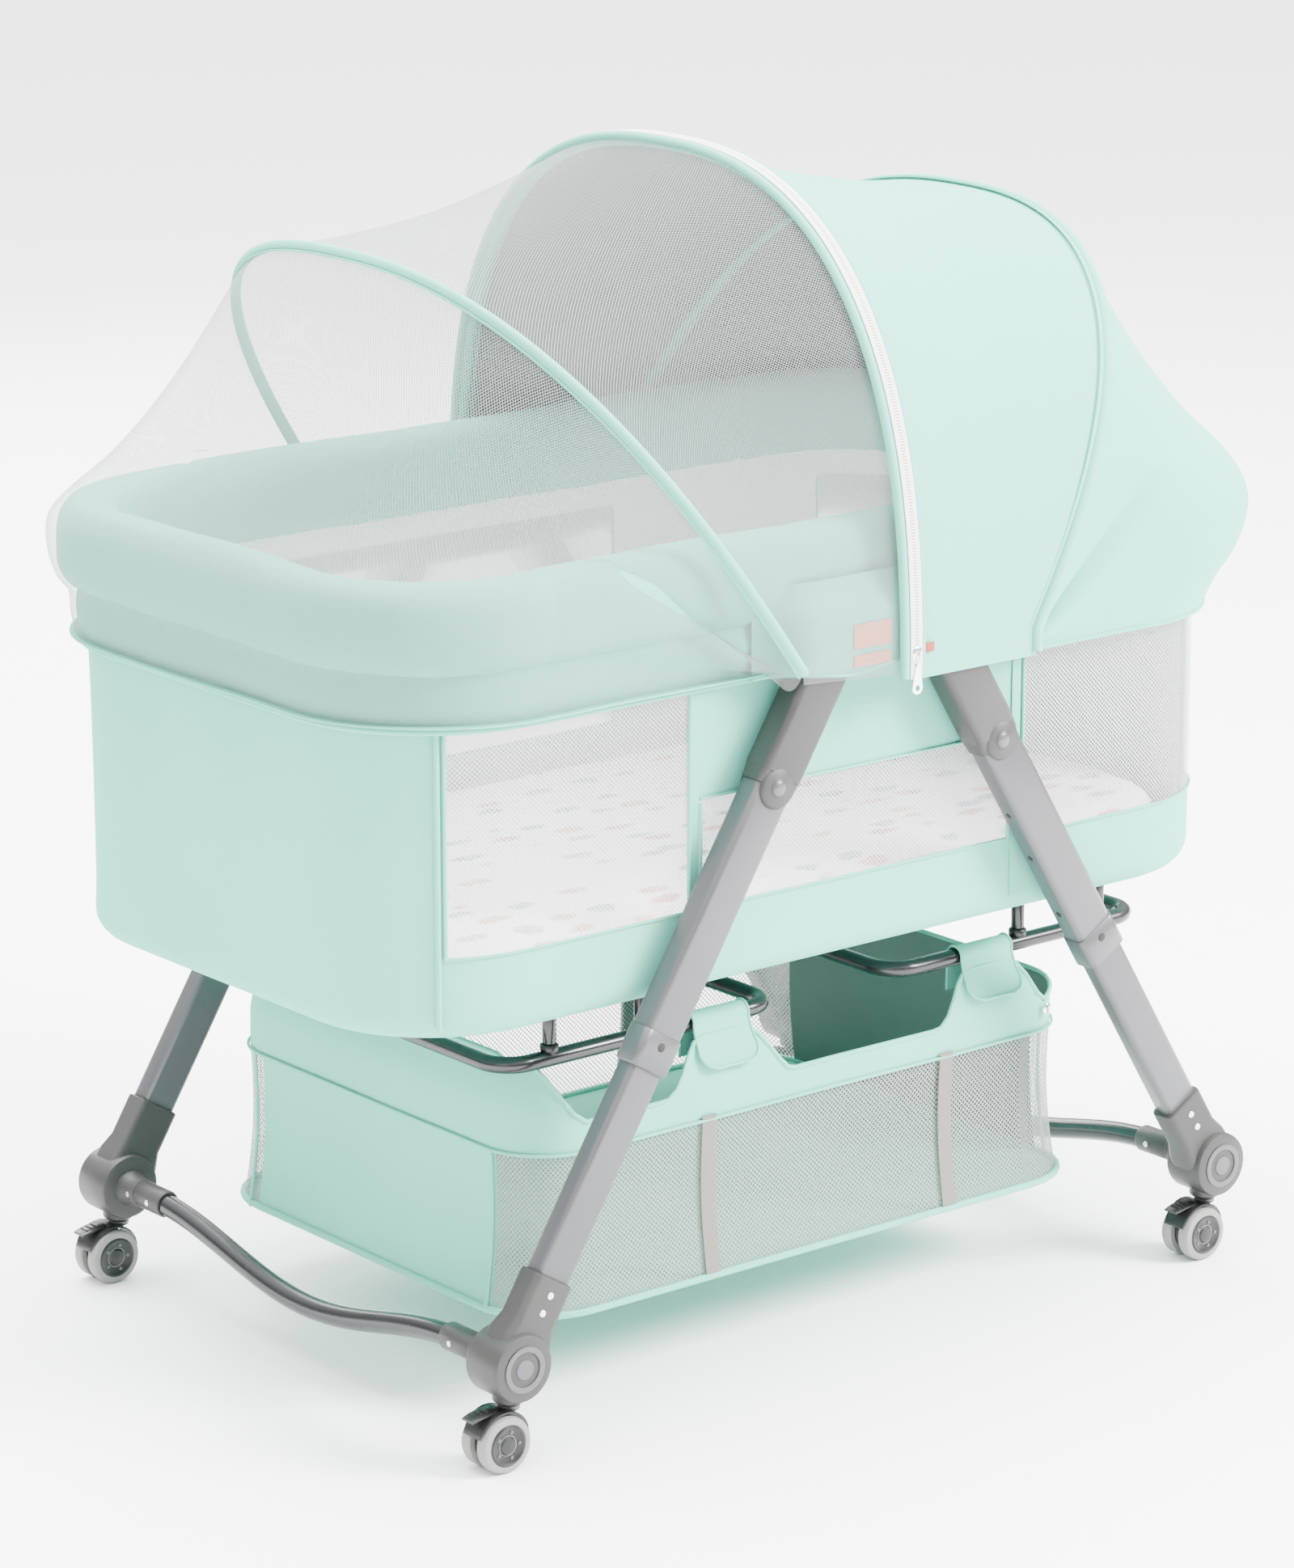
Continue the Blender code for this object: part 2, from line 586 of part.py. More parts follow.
def build_strap(name, x, sign):
    """A cloth loop round the frame tube, with a tail down to the basket's top edge."""
    inner = LOOP_TUBE_RADIUS + GAP
    outer = inner + STRAP
    half = STRAP_WIDTH / 2
    at_tube = Matrix.Translation((x, sign * LOOP_HALF_WIDTH, LOOP_Z))
    strap = add_object(name, cylinder_mesh(name, outer, -half, half, "X", 14), "mint", None, at_tube)
    tail_low = BASKET_TOP_Z + GAP - LOOP_Z
    near_face, far_face = sorted((sign * (outer - STRAP), sign * outer))
    tail = box_mesh("tail", (-half, near_face, tail_low), (half, far_face, 0))
    cut_or_join(strap, "UNION", tail)
    cut_or_join(strap, "DIFFERENCE", cylinder_mesh("eye", inner, -half - 0.01, half + 0.01, "X", 14))


# ---------------------------------------------------------------- hood and net


def bow_point(bow, turn):
    """A point on a bow: turn runs from 0 at the near foot to pi at the far one."""
    foot_x, lean, height = bow
    across = -math.copysign(abs(math.cos(turn)) ** (2 / BOW_SQUARENESS), math.cos(turn))
    up = height * math.sin(turn) ** (2 / BOW_SQUARENESS)
    lean = math.radians(lean)
    return Vector(
        (foot_x + up * math.sin(lean), across * BOW_HALF_WIDTH, BOW_FOOT_Z + up * math.cos(lean))
    )


def bow_turns(count):
    """Turns from one foot to the other, closer together near the feet."""
    return [math.pi * (0.5 - 0.5 * math.cos(math.pi * step / count)) for step in range(count + 1)]


def cloth_turns(count):
    first, last = CLOTH_FOOT_TURN, math.pi - CLOTH_FOOT_TURN
    return [first + (last - first) * turn / math.pi for turn in bow_turns(count)]


def build_bow(name, bow, parent, pivot):
    points = [bow_point(bow, turn) - pivot for turn in bow_turns(20)]
    add_object(name, tube_mesh(name, points, BOW_RADIUS), "mint", parent)


def cloth_between(name, bow, other, slot, parent=None, pivot=Vector()):
    rows = []
    for step in range(4):
        share = CLOTH_SETBACK + (1 - 2 * CLOTH_SETBACK) * step / 3
        rows.append([bow_point(bow, t).lerp(bow_point(other, t), share) - pivot for t in cloth_turns(20)])
    grid_shell(name, rows, CLOTH, slot, parent)


def end_outline(offset, end_sign, start_x):
    """The crib outline round one end, from the near side to the far side, starting at start_x."""
    end_out = HOOD_END_OUT if end_sign > 0 else offset
    outline = rounded_outline(
        CRIB_HALF_LENGTH + end_out, CRIB_HALF_WIDTH + offset, CRIB_CORNER + offset, CRIB_X
    )
    quarter = CORNER_STEPS + 1
    if end_sign > 0:
        arc = outline[: 2 * quarter]
    else:
        arc = [(2 * CRIB_X - x, y) for x, y in outline[: 2 * quarter]]
    return [Vector((start_x, arc[0][1]))] + [Vector(p) for p in arc] + [Vector((start_x, arc[-1][1]))]


def along(points, share):
    lengths = [(b - a).length for a, b in zip(points, points[1:])]
    left = share * sum(lengths)
    for a, b, length in zip(points, points[1:], lengths):
        if left <= length:
            return a.lerp(b, left / length)
        left -= length
    return points[-1].copy()


def apron(name, bow, end_sign, slot, parent=None, pivot=Vector()):
    """The cloth from a bow to the end of the crib, where it hangs down outside the padded rim."""
    count = 36
    rim = end_outline(COVER_OUT, end_sign, bow_point(bow, CLOTH_FOOT_TURN).x + end_sign * 0.02)
    lean = math.radians(bow[1])
    outward = Vector((math.cos(lean), 0, -math.sin(lean)))
    rows = [[] for _ in range(4)]
    for index, turn in enumerate(cloth_turns(count)):
        top = bow_point(bow, turn)
        edge = along(rim, index / count)
        crest = Vector((edge.x, edge.y, min(COVER_CREST_Z, top.z + 0.004)))
        start = top + end_sign * 2.5 * BOW_RADIUS * outward
        beside_leg = abs(edge.x - LEG_X) < COVER_SIDE_REACH
        hem = Vector((edge.x, edge.y, ROLL_Z + 0.006 if beside_leg else HEM_Z + 0.003))
        for row, point in zip(rows, (start, start.lerp(crest, 0.6), crest, hem)):
            row.append(point - pivot)
    if end_sign < 0:
        rows = rows[::-1]
    grid_shell(name, rows, CLOTH, slot, parent)


def build_hood():
    pivot = Vector((MAIN_BOW[0], 0, BOW_FOOT_Z))
    main = add_empty("hood_fold", Matrix.Translation(pivot))
    net = add_empty("net_fold", Matrix(), main)
    build_bow("rear_bow", REAR_BOW, None, Vector())
    build_bow("main_bow", MAIN_BOW, main, pivot)
    build_bow("net_bow", NET_BOW, net, pivot)
    cloth_between("hood_canopy", MAIN_BOW, REAR_BOW, "mint")
    cloth_between("net_middle", NET_BOW, MAIN_BOW, "net", main, pivot)
    apron("hood_tail", REAR_BOW, 1, "mint")
    apron("net_front", NET_BOW, -1, "net", net, pivot)
    foot = bow_point(MAIN_BOW, 0)
    low = Vector((-0.005, -BOW_RADIUS, -0.034)) + foot - pivot
    high = Vector((0.005, 0.002 - BOW_RADIUS, -0.004)) + foot - pivot
    add_object("zip_pull", box_mesh("zip_pull", low, high), "steel", main)


clear_scene()
PARTS, CUTTERS = make_collections()
MATERIALS = make_materials()
build_crib()
build_rim()
for side_name, side_sign in SIDES.items():
    build_hub(side_name, side_sign)
build_stand()
build_loop("frame_loop_front", FRONT_LOOP, ENDS["front"])
build_loop("frame_loop_rear", REAR_LOOP, ENDS["rear"])
build_basket()
for strap_end, strap_x in zip(ENDS, STRAP_X):
    for side_name, side_sign in SIDES.items():
        build_strap(f"basket_strap_{strap_end}_{side_name}", strap_x, side_sign)
build_hood()
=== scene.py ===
"""Bassinet on stand: the visible fabric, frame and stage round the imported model, as a Blender add-on.

Metres, +Z up. +X is the head end, -X the foot end. Near is the -Y side and far the +Y side.
"""

import json
import math

import bpy
import numpy as np
from mathutils import Matrix, Vector, noise
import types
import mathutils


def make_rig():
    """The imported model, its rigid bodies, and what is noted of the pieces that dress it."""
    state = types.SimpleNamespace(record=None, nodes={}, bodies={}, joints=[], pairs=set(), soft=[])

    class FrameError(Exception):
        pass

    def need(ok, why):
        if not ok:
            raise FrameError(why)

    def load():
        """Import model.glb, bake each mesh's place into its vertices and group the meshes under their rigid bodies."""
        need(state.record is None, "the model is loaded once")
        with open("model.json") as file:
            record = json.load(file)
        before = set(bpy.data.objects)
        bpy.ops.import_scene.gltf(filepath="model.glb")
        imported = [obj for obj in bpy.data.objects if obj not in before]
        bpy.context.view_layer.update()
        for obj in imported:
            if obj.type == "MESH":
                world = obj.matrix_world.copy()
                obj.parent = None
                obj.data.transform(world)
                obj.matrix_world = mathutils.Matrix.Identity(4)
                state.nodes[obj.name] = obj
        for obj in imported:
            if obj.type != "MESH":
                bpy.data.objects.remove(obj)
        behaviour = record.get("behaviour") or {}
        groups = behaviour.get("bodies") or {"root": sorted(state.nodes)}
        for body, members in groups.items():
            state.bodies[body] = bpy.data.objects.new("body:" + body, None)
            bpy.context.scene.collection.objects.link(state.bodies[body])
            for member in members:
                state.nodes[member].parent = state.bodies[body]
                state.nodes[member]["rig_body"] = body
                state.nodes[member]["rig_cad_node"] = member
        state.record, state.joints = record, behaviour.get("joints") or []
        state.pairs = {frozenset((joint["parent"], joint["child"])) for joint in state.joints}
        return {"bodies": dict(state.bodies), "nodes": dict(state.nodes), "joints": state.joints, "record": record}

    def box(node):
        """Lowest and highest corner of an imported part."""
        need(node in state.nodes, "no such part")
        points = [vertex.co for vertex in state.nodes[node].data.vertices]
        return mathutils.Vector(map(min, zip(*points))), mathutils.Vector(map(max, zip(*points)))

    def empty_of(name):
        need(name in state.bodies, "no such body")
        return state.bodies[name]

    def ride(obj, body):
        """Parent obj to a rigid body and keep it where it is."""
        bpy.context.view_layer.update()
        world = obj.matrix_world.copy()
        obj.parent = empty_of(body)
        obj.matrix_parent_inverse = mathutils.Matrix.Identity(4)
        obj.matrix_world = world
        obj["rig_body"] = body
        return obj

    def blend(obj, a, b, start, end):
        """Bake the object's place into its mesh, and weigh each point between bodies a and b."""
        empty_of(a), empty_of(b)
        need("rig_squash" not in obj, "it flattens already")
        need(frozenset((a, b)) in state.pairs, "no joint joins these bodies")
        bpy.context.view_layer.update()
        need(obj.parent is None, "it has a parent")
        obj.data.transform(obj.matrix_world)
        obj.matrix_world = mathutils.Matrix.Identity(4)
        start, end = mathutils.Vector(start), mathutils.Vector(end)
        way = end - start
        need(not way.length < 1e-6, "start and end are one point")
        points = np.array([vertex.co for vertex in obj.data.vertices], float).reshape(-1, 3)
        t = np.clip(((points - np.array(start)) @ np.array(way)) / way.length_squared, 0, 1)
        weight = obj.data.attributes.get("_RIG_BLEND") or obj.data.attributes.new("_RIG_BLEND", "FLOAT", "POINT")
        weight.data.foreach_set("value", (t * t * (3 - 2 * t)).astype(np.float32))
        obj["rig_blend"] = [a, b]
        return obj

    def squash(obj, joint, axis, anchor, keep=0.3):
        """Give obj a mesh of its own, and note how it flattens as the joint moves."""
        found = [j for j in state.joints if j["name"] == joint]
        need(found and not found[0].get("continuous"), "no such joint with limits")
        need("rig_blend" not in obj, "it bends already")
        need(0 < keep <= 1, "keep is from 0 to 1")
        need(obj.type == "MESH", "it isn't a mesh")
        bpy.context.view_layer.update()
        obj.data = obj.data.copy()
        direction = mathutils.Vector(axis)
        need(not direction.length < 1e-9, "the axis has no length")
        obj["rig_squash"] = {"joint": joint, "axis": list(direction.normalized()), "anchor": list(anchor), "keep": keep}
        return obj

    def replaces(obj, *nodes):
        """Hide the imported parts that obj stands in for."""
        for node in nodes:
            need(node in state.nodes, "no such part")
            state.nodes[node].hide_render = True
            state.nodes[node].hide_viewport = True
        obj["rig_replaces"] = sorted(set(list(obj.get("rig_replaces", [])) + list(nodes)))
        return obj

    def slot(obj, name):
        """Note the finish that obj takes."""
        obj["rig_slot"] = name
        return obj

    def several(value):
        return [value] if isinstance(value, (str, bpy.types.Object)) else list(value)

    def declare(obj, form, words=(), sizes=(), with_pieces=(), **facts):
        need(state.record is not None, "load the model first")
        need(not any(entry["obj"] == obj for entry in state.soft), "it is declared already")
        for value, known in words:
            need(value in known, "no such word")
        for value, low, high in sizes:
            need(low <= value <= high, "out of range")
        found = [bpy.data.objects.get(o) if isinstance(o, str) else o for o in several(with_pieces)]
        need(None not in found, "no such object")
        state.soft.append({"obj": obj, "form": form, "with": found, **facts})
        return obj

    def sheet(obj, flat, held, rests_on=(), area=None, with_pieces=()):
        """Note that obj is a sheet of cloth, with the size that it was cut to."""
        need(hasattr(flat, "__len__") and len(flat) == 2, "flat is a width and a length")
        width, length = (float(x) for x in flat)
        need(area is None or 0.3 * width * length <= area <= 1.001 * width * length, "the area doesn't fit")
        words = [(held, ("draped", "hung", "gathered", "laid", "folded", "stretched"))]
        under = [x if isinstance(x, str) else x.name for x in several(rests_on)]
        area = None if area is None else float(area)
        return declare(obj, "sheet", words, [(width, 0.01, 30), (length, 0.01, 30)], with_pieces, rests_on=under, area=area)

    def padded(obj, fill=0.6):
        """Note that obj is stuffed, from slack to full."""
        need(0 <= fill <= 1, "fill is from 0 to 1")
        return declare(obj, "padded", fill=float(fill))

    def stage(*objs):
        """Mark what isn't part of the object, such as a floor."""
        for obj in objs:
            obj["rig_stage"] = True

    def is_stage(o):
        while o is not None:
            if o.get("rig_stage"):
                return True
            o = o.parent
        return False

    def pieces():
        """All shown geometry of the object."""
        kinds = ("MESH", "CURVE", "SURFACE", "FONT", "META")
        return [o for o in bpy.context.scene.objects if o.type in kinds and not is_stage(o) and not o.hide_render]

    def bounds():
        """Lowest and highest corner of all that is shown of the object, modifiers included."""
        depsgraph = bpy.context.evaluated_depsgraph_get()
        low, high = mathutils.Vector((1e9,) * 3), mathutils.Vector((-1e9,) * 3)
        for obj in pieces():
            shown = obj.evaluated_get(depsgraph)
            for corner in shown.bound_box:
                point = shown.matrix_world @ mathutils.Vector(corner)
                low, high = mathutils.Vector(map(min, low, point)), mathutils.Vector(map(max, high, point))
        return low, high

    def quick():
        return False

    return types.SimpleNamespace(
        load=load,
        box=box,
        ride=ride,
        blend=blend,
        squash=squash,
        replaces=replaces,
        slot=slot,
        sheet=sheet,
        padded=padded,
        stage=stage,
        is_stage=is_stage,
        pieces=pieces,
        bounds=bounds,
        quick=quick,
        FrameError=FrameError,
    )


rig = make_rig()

bl_info = {
    "name": "Bassinet on stand",
    "version": (1, 0, 0),
    "blender": (4, 5, 0),
    "location": "3D View > Sidebar > Bassinet",
    "description": "Builds the pieces of a fabric bassinet on a folding stand",
    "category": "Object",
}

SIDES = {"near": -1, "far": 1}
ENDS = {"front": -1, "rear": 1}
SIZE_FILE = "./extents.json"


# ---------------------------------------------------------------- settings


def distance(name, description, default):
    return bpy.props.FloatProperty(
        name=name, description=description, default=default, subtype="DISTANCE", unit="LENGTH", precision=4
    )


def turn(name, description, degrees):
    return bpy.props.FloatProperty(
        name=name, description=description, default=math.radians(degrees), subtype="ANGLE", unit="ROTATION"
    )


def color(name, description, value):
    return bpy.props.FloatVectorProperty(
        name=name, description=description, default=value, size=3, subtype="COLOR", min=0, max=1
    )


class CribSettings(bpy.types.PropertyGroup):
    center_x: distance("Centre", "Middle of the crib along X", -0.017)
    half_length: distance("Half length", "From the middle to the end wall", 0.485)
    half_width: distance("Half width", "From the middle to the side wall", 0.270)
    corner: distance("Corner", "Radius of the crib's upright corners", 0.13)
    edge: distance("Bottom edge", "Rounding of the bottom edge", 0.022)
    floor_z: distance("Floor", "Height of the crib's underside", 0.365)
    band_z: distance("Band", "Top of the mint band below the windows", 0.438)
    panel_z: distance("Panel", "Bottom of the upper middle panel", 0.535)
    hem_z: distance("Hem", "Bottom of the skirt below the padded rim", 0.632)
    roll_z: distance("Roll", "Seam between the skirt and the padded rim", 0.682)
    top_z: distance("Top", "Top of the padded rim", 0.757)
    rim_out: distance("Rim out", "How far the padded rim stands out", 0.025)
    rim_in: distance("Rim in", "How far the padded rim stands in", 0.035)
    wall: distance("Wall", "Thickness of the wall's collision solid", 0.006)


class StandSettings(bpy.types.PropertyGroup):
    pivot_x: distance("Pivot", "Leg pivot from the middle of the hub", 0.059)
    pivot_z: distance("Pivot height", "Height of the leg pivots", 0.655)
    foot_x: distance("Foot", "Foot from the middle of the hub", 0.4085)
    foot_z: distance("Foot height", "Height of the foot's round hub", 0.091)
    leg_x: distance("Hub", "Middle of the hub along X", -0.003)
    leg_y: distance("Leg", "Middle of a leg across the crib", 0.293)
    arm_width: distance("Arm width", "Wide side of the upper arm", 0.046)
    arm_depth: distance("Arm depth", "Narrow side of the upper arm", 0.031)
    arm_end: distance("Arm length", "Lower end of the arm, down the leg", 0.152)
    tube_width: distance("Tube width", "Wide side of the middle tube", 0.042)
    tube_depth: distance("Tube depth", "Narrow side of the middle tube", 0.025)
    tube_end: distance("Tube end", "Lower end of the middle tube, down the leg", 0.395)
    lower_width: distance("Lower width", "Wide side of the lower tube", 0.0378)
    lower_depth: distance("Lower depth", "Narrow side of the lower tube", 0.0208)
    sleeve_start: distance("Sleeve", "Top of the foot's sleeve, down the leg", 0.585)
    button_at: distance("Button", "Lock button, down the leg", 0.132)
    pin_at: distance("Pin", "Height pin, down the leg", 0.372)
    hole_pitch: distance("Hole pitch", "Distance between height settings", 0.043)
    foot_radius: distance("Foot radius", "Radius of the foot's round hub", 0.030)
    foot_depth: distance("Foot depth", "Width of the foot's round hub", 0.044)
    bar_radius: distance("Bar radius", "Radius of the rocker bar", 0.010)
    bar_dip: distance("Bar dip", "How far the rocker bar dips", 0.034)
    wheel_radius: distance("Wheel radius", "Radius of a caster wheel", 0.025)
    wheel_width: distance("Wheel width", "Width of a caster wheel", 0.013)
    wheel_gap: distance("Wheel gap", "Gap between a caster's two wheels", 0.010)
    trail: distance("Trail", "How far the caster's axle trails its stem", 0.014)


class BasketSettings(bpy.types.PropertyGroup):
    half_length: distance("Half length", "From the middle to the end of the basket", 0.328)
    half_width: distance("Half width", "From the middle to the side of the basket", 0.235)
    corner: distance("Corner", "Radius of the basket's corners", 0.07)
    bottom_z: distance("Bottom", "Underside of the basket", 0.085)
    band_z: distance("Band", "Lower edge of the mint band", 0.230)
    scallop_z: distance("Scallop", "Bottom of the scalloped cut-outs", 0.262)
    loop_z: distance("Loop height", "Height of the frame loops", 0.312)
    loop_y: distance("Loop width", "Half width of the frame loops", 0.204)
    loop_radius: distance("Loop tube", "Radius of the loops' tube", 0.0075)
    loop_corner: distance("Loop corner", "Corner radius of the loops", 0.028)
    front_loop: bpy.props.FloatVectorProperty(
        name="Front loop", description="Ends of the front loop", default=(-0.347, -0.047), size=2, subtype="NONE", unit="LENGTH"
    )
    rear_loop: bpy.props.FloatVectorProperty(
        name="Rear loop", description="Ends of the rear loop", default=(0.091, 0.395), size=2, subtype="NONE", unit="LENGTH"
    )
    strap_x: bpy.props.FloatVectorProperty(
        name="Straps", description="Places of the hanging straps", default=(-0.115, 0.198), size=2, subtype="NONE", unit="LENGTH"
    )
    strap_width: distance("Strap width", "Width of a hanging strap", 0.065)


class HoodSettings(bpy.types.PropertyGroup):
    foot_z: distance("Bow feet", "Height of the bows' feet", 0.640)
    half_width: distance("Half width", "Half the distance between a bow's feet", 0.3135)
    squareness: bpy.props.FloatProperty(
        name="Squareness", description="How square the bows' shoulders are", default=2.5, min=2, max=6
    )
    radius: distance("Bow", "Radius of a bow", 0.004)
    main_x: distance("Main bow", "Foot of the main bow", 0.008)
    main_lean: turn("Main lean", "How far the main bow leans to the head end", -1.5)
    main_height: distance("Main height", "Height of the main bow along its lean", 0.402)
    rear_x: distance("Rear bow", "Foot of the rear bow", 0.158)
    rear_lean: turn("Rear lean", "How far the rear bow leans to the head end", 30)
    rear_height: distance("Rear height", "Height of the rear bow along its lean", 0.383)
    net_x: distance("Net bow", "Foot of the net bow", -0.109)
    net_lean: turn("Net lean", "How far the net bow leans to the head end", -36)
    net_height: distance("Net height", "Height of the net bow along its lean", 0.424)
    skirt_z: distance("Skirt", "Lower edge of the hood's sides", 0.615)


class ColorSettings(bpy.types.PropertyGroup):
    mint: color("Mint", "Crib, hood and basket fabric", (0.135, 0.48, 0.385))
    lining: color("Lining", "Inside of the hood", (0.135, 0.14, 0.138))
    white: color("White", "Sheet and linings", (0.90, 0.90, 0.895))
    net: color("Net", "Mosquito net", (0.30, 0.32, 0.32))
    webbing: color("Webbing", "Straps sewn on the basket", (0.16, 0.145, 0.12))
    tab: color("Tab", "Sewn tabs", (0.70, 0.26, 0.14))
    arm: color("Arm", "Upper arms and feet", (0.030, 0.0285, 0.028))
    tube: color("Tube", "Leg tubes", (0.070, 0.070, 0.077))
    dark: color("Dark steel", "Loops and rocker bars", (0.035, 0.035, 0.037))
    black: color("Black", "Caster housings", (0.008, 0.008, 0.0085))
    tyre: color("Tyre", "Caster treads", (0.20, 0.195, 0.19))


class StageSettings(bpy.types.PropertyGroup):
    azimuth: turn("Azimuth", "Turn of the camera round the object", -39.15)
    elevation: turn("Elevation", "Camera above the horizon", 15.12)
    distance: distance("Distance", "Camera to target", 4.824)
    target: bpy.props.FloatVectorProperty(
        name="Target", description="What the camera looks at", default=(-0.024, 0.0, 0.4638), size=3, subtype="XYZ", unit="LENGTH"
    )
    horizon: bpy.props.FloatProperty(
        name="Horizon", description="Brightness of the studio's walls", default=0.55, min=0, max=20
    )
    zenith: bpy.props.FloatProperty(
        name="Zenith", description="Brightness of the studio's ceiling", default=5.2, min=0, max=20
    )
    lens: bpy.props.FloatProperty(
        name="Lens", description="Focal length in millimetres", default=148.8, min=10, max=500, unit="CAMERA"
    )


class BassinetSettings(bpy.types.PropertyGroup):
    crib: bpy.props.PointerProperty(name="Crib", description="Crib and rim", type=CribSettings)
    stand: bpy.props.PointerProperty(name="Stand", description="Legs and casters", type=StandSettings)
    basket: bpy.props.PointerProperty(name="Basket", description="Basket and loops", type=BasketSettings)
    hood: bpy.props.PointerProperty(name="Hood", description="Bows, hood and net", type=HoodSettings)
    colors: bpy.props.PointerProperty(name="Colours", description="Material colours", type=ColorSettings)
    stage: bpy.props.PointerProperty(name="Stage", description="Camera", type=StageSettings)


# ---------------------------------------------------------------- materials


class Material:
    """A node material on one Principled shader, with short calls for its nodes."""

    def __init__(self, name, base, roughness, metallic=0.0):
        self.material = bpy.data.materials.new(name)
        self.material.use_nodes = True
        self.tree = self.material.node_tree
        self.shader = self.tree.nodes["Principled BSDF"]
        self.output = self.tree.nodes["Material Output"]
        self.set(self.shader, {"Base Color": (*base, 1), "Roughness": roughness, "Metallic": metallic})

    def set(self, node, inputs):
        for name, value in inputs.items():
            if isinstance(value, bpy.types.NodeSocket):
                self.tree.links.new(value, node.inputs[name])
            else:
                node.inputs[name].default_value = value

    def add(self, kind, inputs=None, **options):
        node = self.tree.nodes.new(kind)
        for name, value in options.items():
            setattr(node, name, value)
        self.set(node, inputs or {})
        return node

    def coords(self, kind="Object"):
        return self.add("ShaderNodeTexCoord").outputs[kind]

    def noise(self, vector, scale, detail=3.0):
        return self.add("ShaderNodeTexNoise", {"Vector": vector, "Scale": scale, "Detail": detail}).outputs["Fac"]

    def math(self, operation, first, second=0.0):
        node = self.add("ShaderNodeMath", {0: first, 1: second}, operation=operation)
        return node.outputs[0]

    def ramp(self, factor, low, high, first=0.0, last=1.0):
        inputs = {"Value": factor, "From Min": low, "From Max": high, "To Min": first, "To Max": last}
        return self.add("ShaderNodeMapRange", inputs).outputs["Result"]

    def mix(self, factor, first, second):
        inputs = {"Factor": factor, "A": first, "B": second}
        node = self.add("ShaderNodeMix", data_type="RGBA")
        for name, value in inputs.items():
            socket = next(s for s in node.inputs if s.name == name and s.enabled)
            if isinstance(value, bpy.types.NodeSocket):
                self.tree.links.new(value, socket)
            else:
                socket.default_value = value
        return next(s for s in node.outputs if s.enabled)

    def bump(self, height, depth, strength=1.0):
        node = self.add("ShaderNodeBump", {"Height": height, "Distance": depth, "Strength": strength})
        self.set(self.shader, {"Normal": node.outputs["Normal"]})

    def waves(self, vector, pitch, axis):
        """A thread pattern of that pitch in metres along one axis of the vector."""
        split = self.add("ShaderNodeSeparateXYZ", {"Vector": vector})
        inside = self.math("MULTIPLY", split.outputs[axis], 2 * math.pi / pitch)
        return self.math("SINE", inside)


def shade(rgb, amount):
    return tuple(min(1.0, c * amount) for c in rgb) + (1,)


def make_fabric(name, rgb, back=None, pitch=0.0011, wrinkle=0.0012, sheen=0.25, variation=0.05):
    """Plain-woven cloth: crossed threads, slightly uneven dye, soft creases and a fine fuzz."""
    made = Material(name, rgb, 0.82)
    at = made.coords()
    patches = made.noise(at, 5.0, 4.0)
    fuzz = made.noise(at, 700.0, 2.0)
    tint = made.mix(made.ramp(patches, 0.3, 0.7), shade(rgb, 1 - variation), shade(rgb, 1 + variation * 0.6))
    tint = made.mix(made.ramp(fuzz, 0.35, 0.65, 0, 0.10), tint, shade(rgb, 0.86))
    if back:
        facing = made.add("ShaderNodeNewGeometry").outputs["Backfacing"]
        tint = made.mix(facing, tint, (*back, 1))
    turned = made.add("ShaderNodeVectorRotate", {"Vector": at, "Angle": math.radians(45)}, rotation_type="Z_AXIS")
    across = made.waves(turned.outputs[0], pitch, "X")
    upward = made.waves(at, pitch, "Z")
    weave = made.math("MULTIPLY", across, upward)
    creases = made.math("MULTIPLY", made.noise(at, 17.0, 3.0), wrinkle / 0.0001)
    height = made.math("ADD", made.math("MULTIPLY", weave, 0.35), creases)
    height = made.math("ADD", height, made.math("MULTIPLY", fuzz, 0.5))
    made.bump(height, 0.0001, 0.7)
    made.set(made.shader, {
        "Base Color": tint, "Sheen Weight": sheen, "Sheen Roughness": 0.5,
        "Sheen Tint": shade(rgb, 1.1), "Roughness": made.ramp(fuzz, 0.3, 0.7, 0.76, 0.9),
        "Specular IOR Level": 0.25,
    })
    return made.material


def make_net(name, rgb, pitch, thread, lead, tint=0.0):
    """Knitted net: diamond holes that let light through, closing up where it is seen edge on."""
    made = Material(name, rgb, 0.7)
    uv = made.coords("UV")
    turned = made.add("ShaderNodeVectorRotate", {"Vector": uv, "Angle": math.radians(45)}, rotation_type="Z_AXIS")
    first = made.math("ABSOLUTE", made.waves(turned.outputs[0], pitch * 2, "X"))
    second = made.math("ABSOLUTE", made.waves(turned.outputs[0], pitch * 2, "Y"))
    cell = made.math("MINIMUM", first, second)
    yarn = made.ramp(cell, thread, thread + 0.15, 1.0, 0.0)
    facing = made.add("ShaderNodeLayerWeight", {"Blend": 0.35}).outputs["Facing"]
    cover = made.math("ADD", made.math("MULTIPLY", yarn, 1 - lead), lead)
    cover = made.math("ADD", cover, made.ramp(facing, 0.55, 1.0, 0.0, 0.45))
    cover = made.math("MINIMUM", cover, 1.0)
    loose = made.noise(made.coords(), 30.0, 3.0)
    made.set(made.shader, {
        "Base Color": made.mix(loose, shade(rgb, 0.94), shade(rgb, 1.04)), "Sheen Weight": 0.3,
        "Specular IOR Level": 0.2,
    })
    made.bump(yarn, 0.0002, 0.4)
    glow = made.add("ShaderNodeBsdfTranslucent", {"Color": (*rgb, 1)})
    thin = made.add("ShaderNodeMixShader", {0: 0.35, 1: made.shader.outputs[0], 2: glow.outputs[0]})
    clear = made.add("ShaderNodeBsdfTransparent", {"Color": (1 - tint, 1 - tint, 1 - tint, 1)})
    mixed = made.add("ShaderNodeMixShader", {0: cover, 1: clear.outputs[0], 2: thin.outputs[0]})
    made.set(made.output, {"Surface": mixed.outputs[0]})
    return made.material


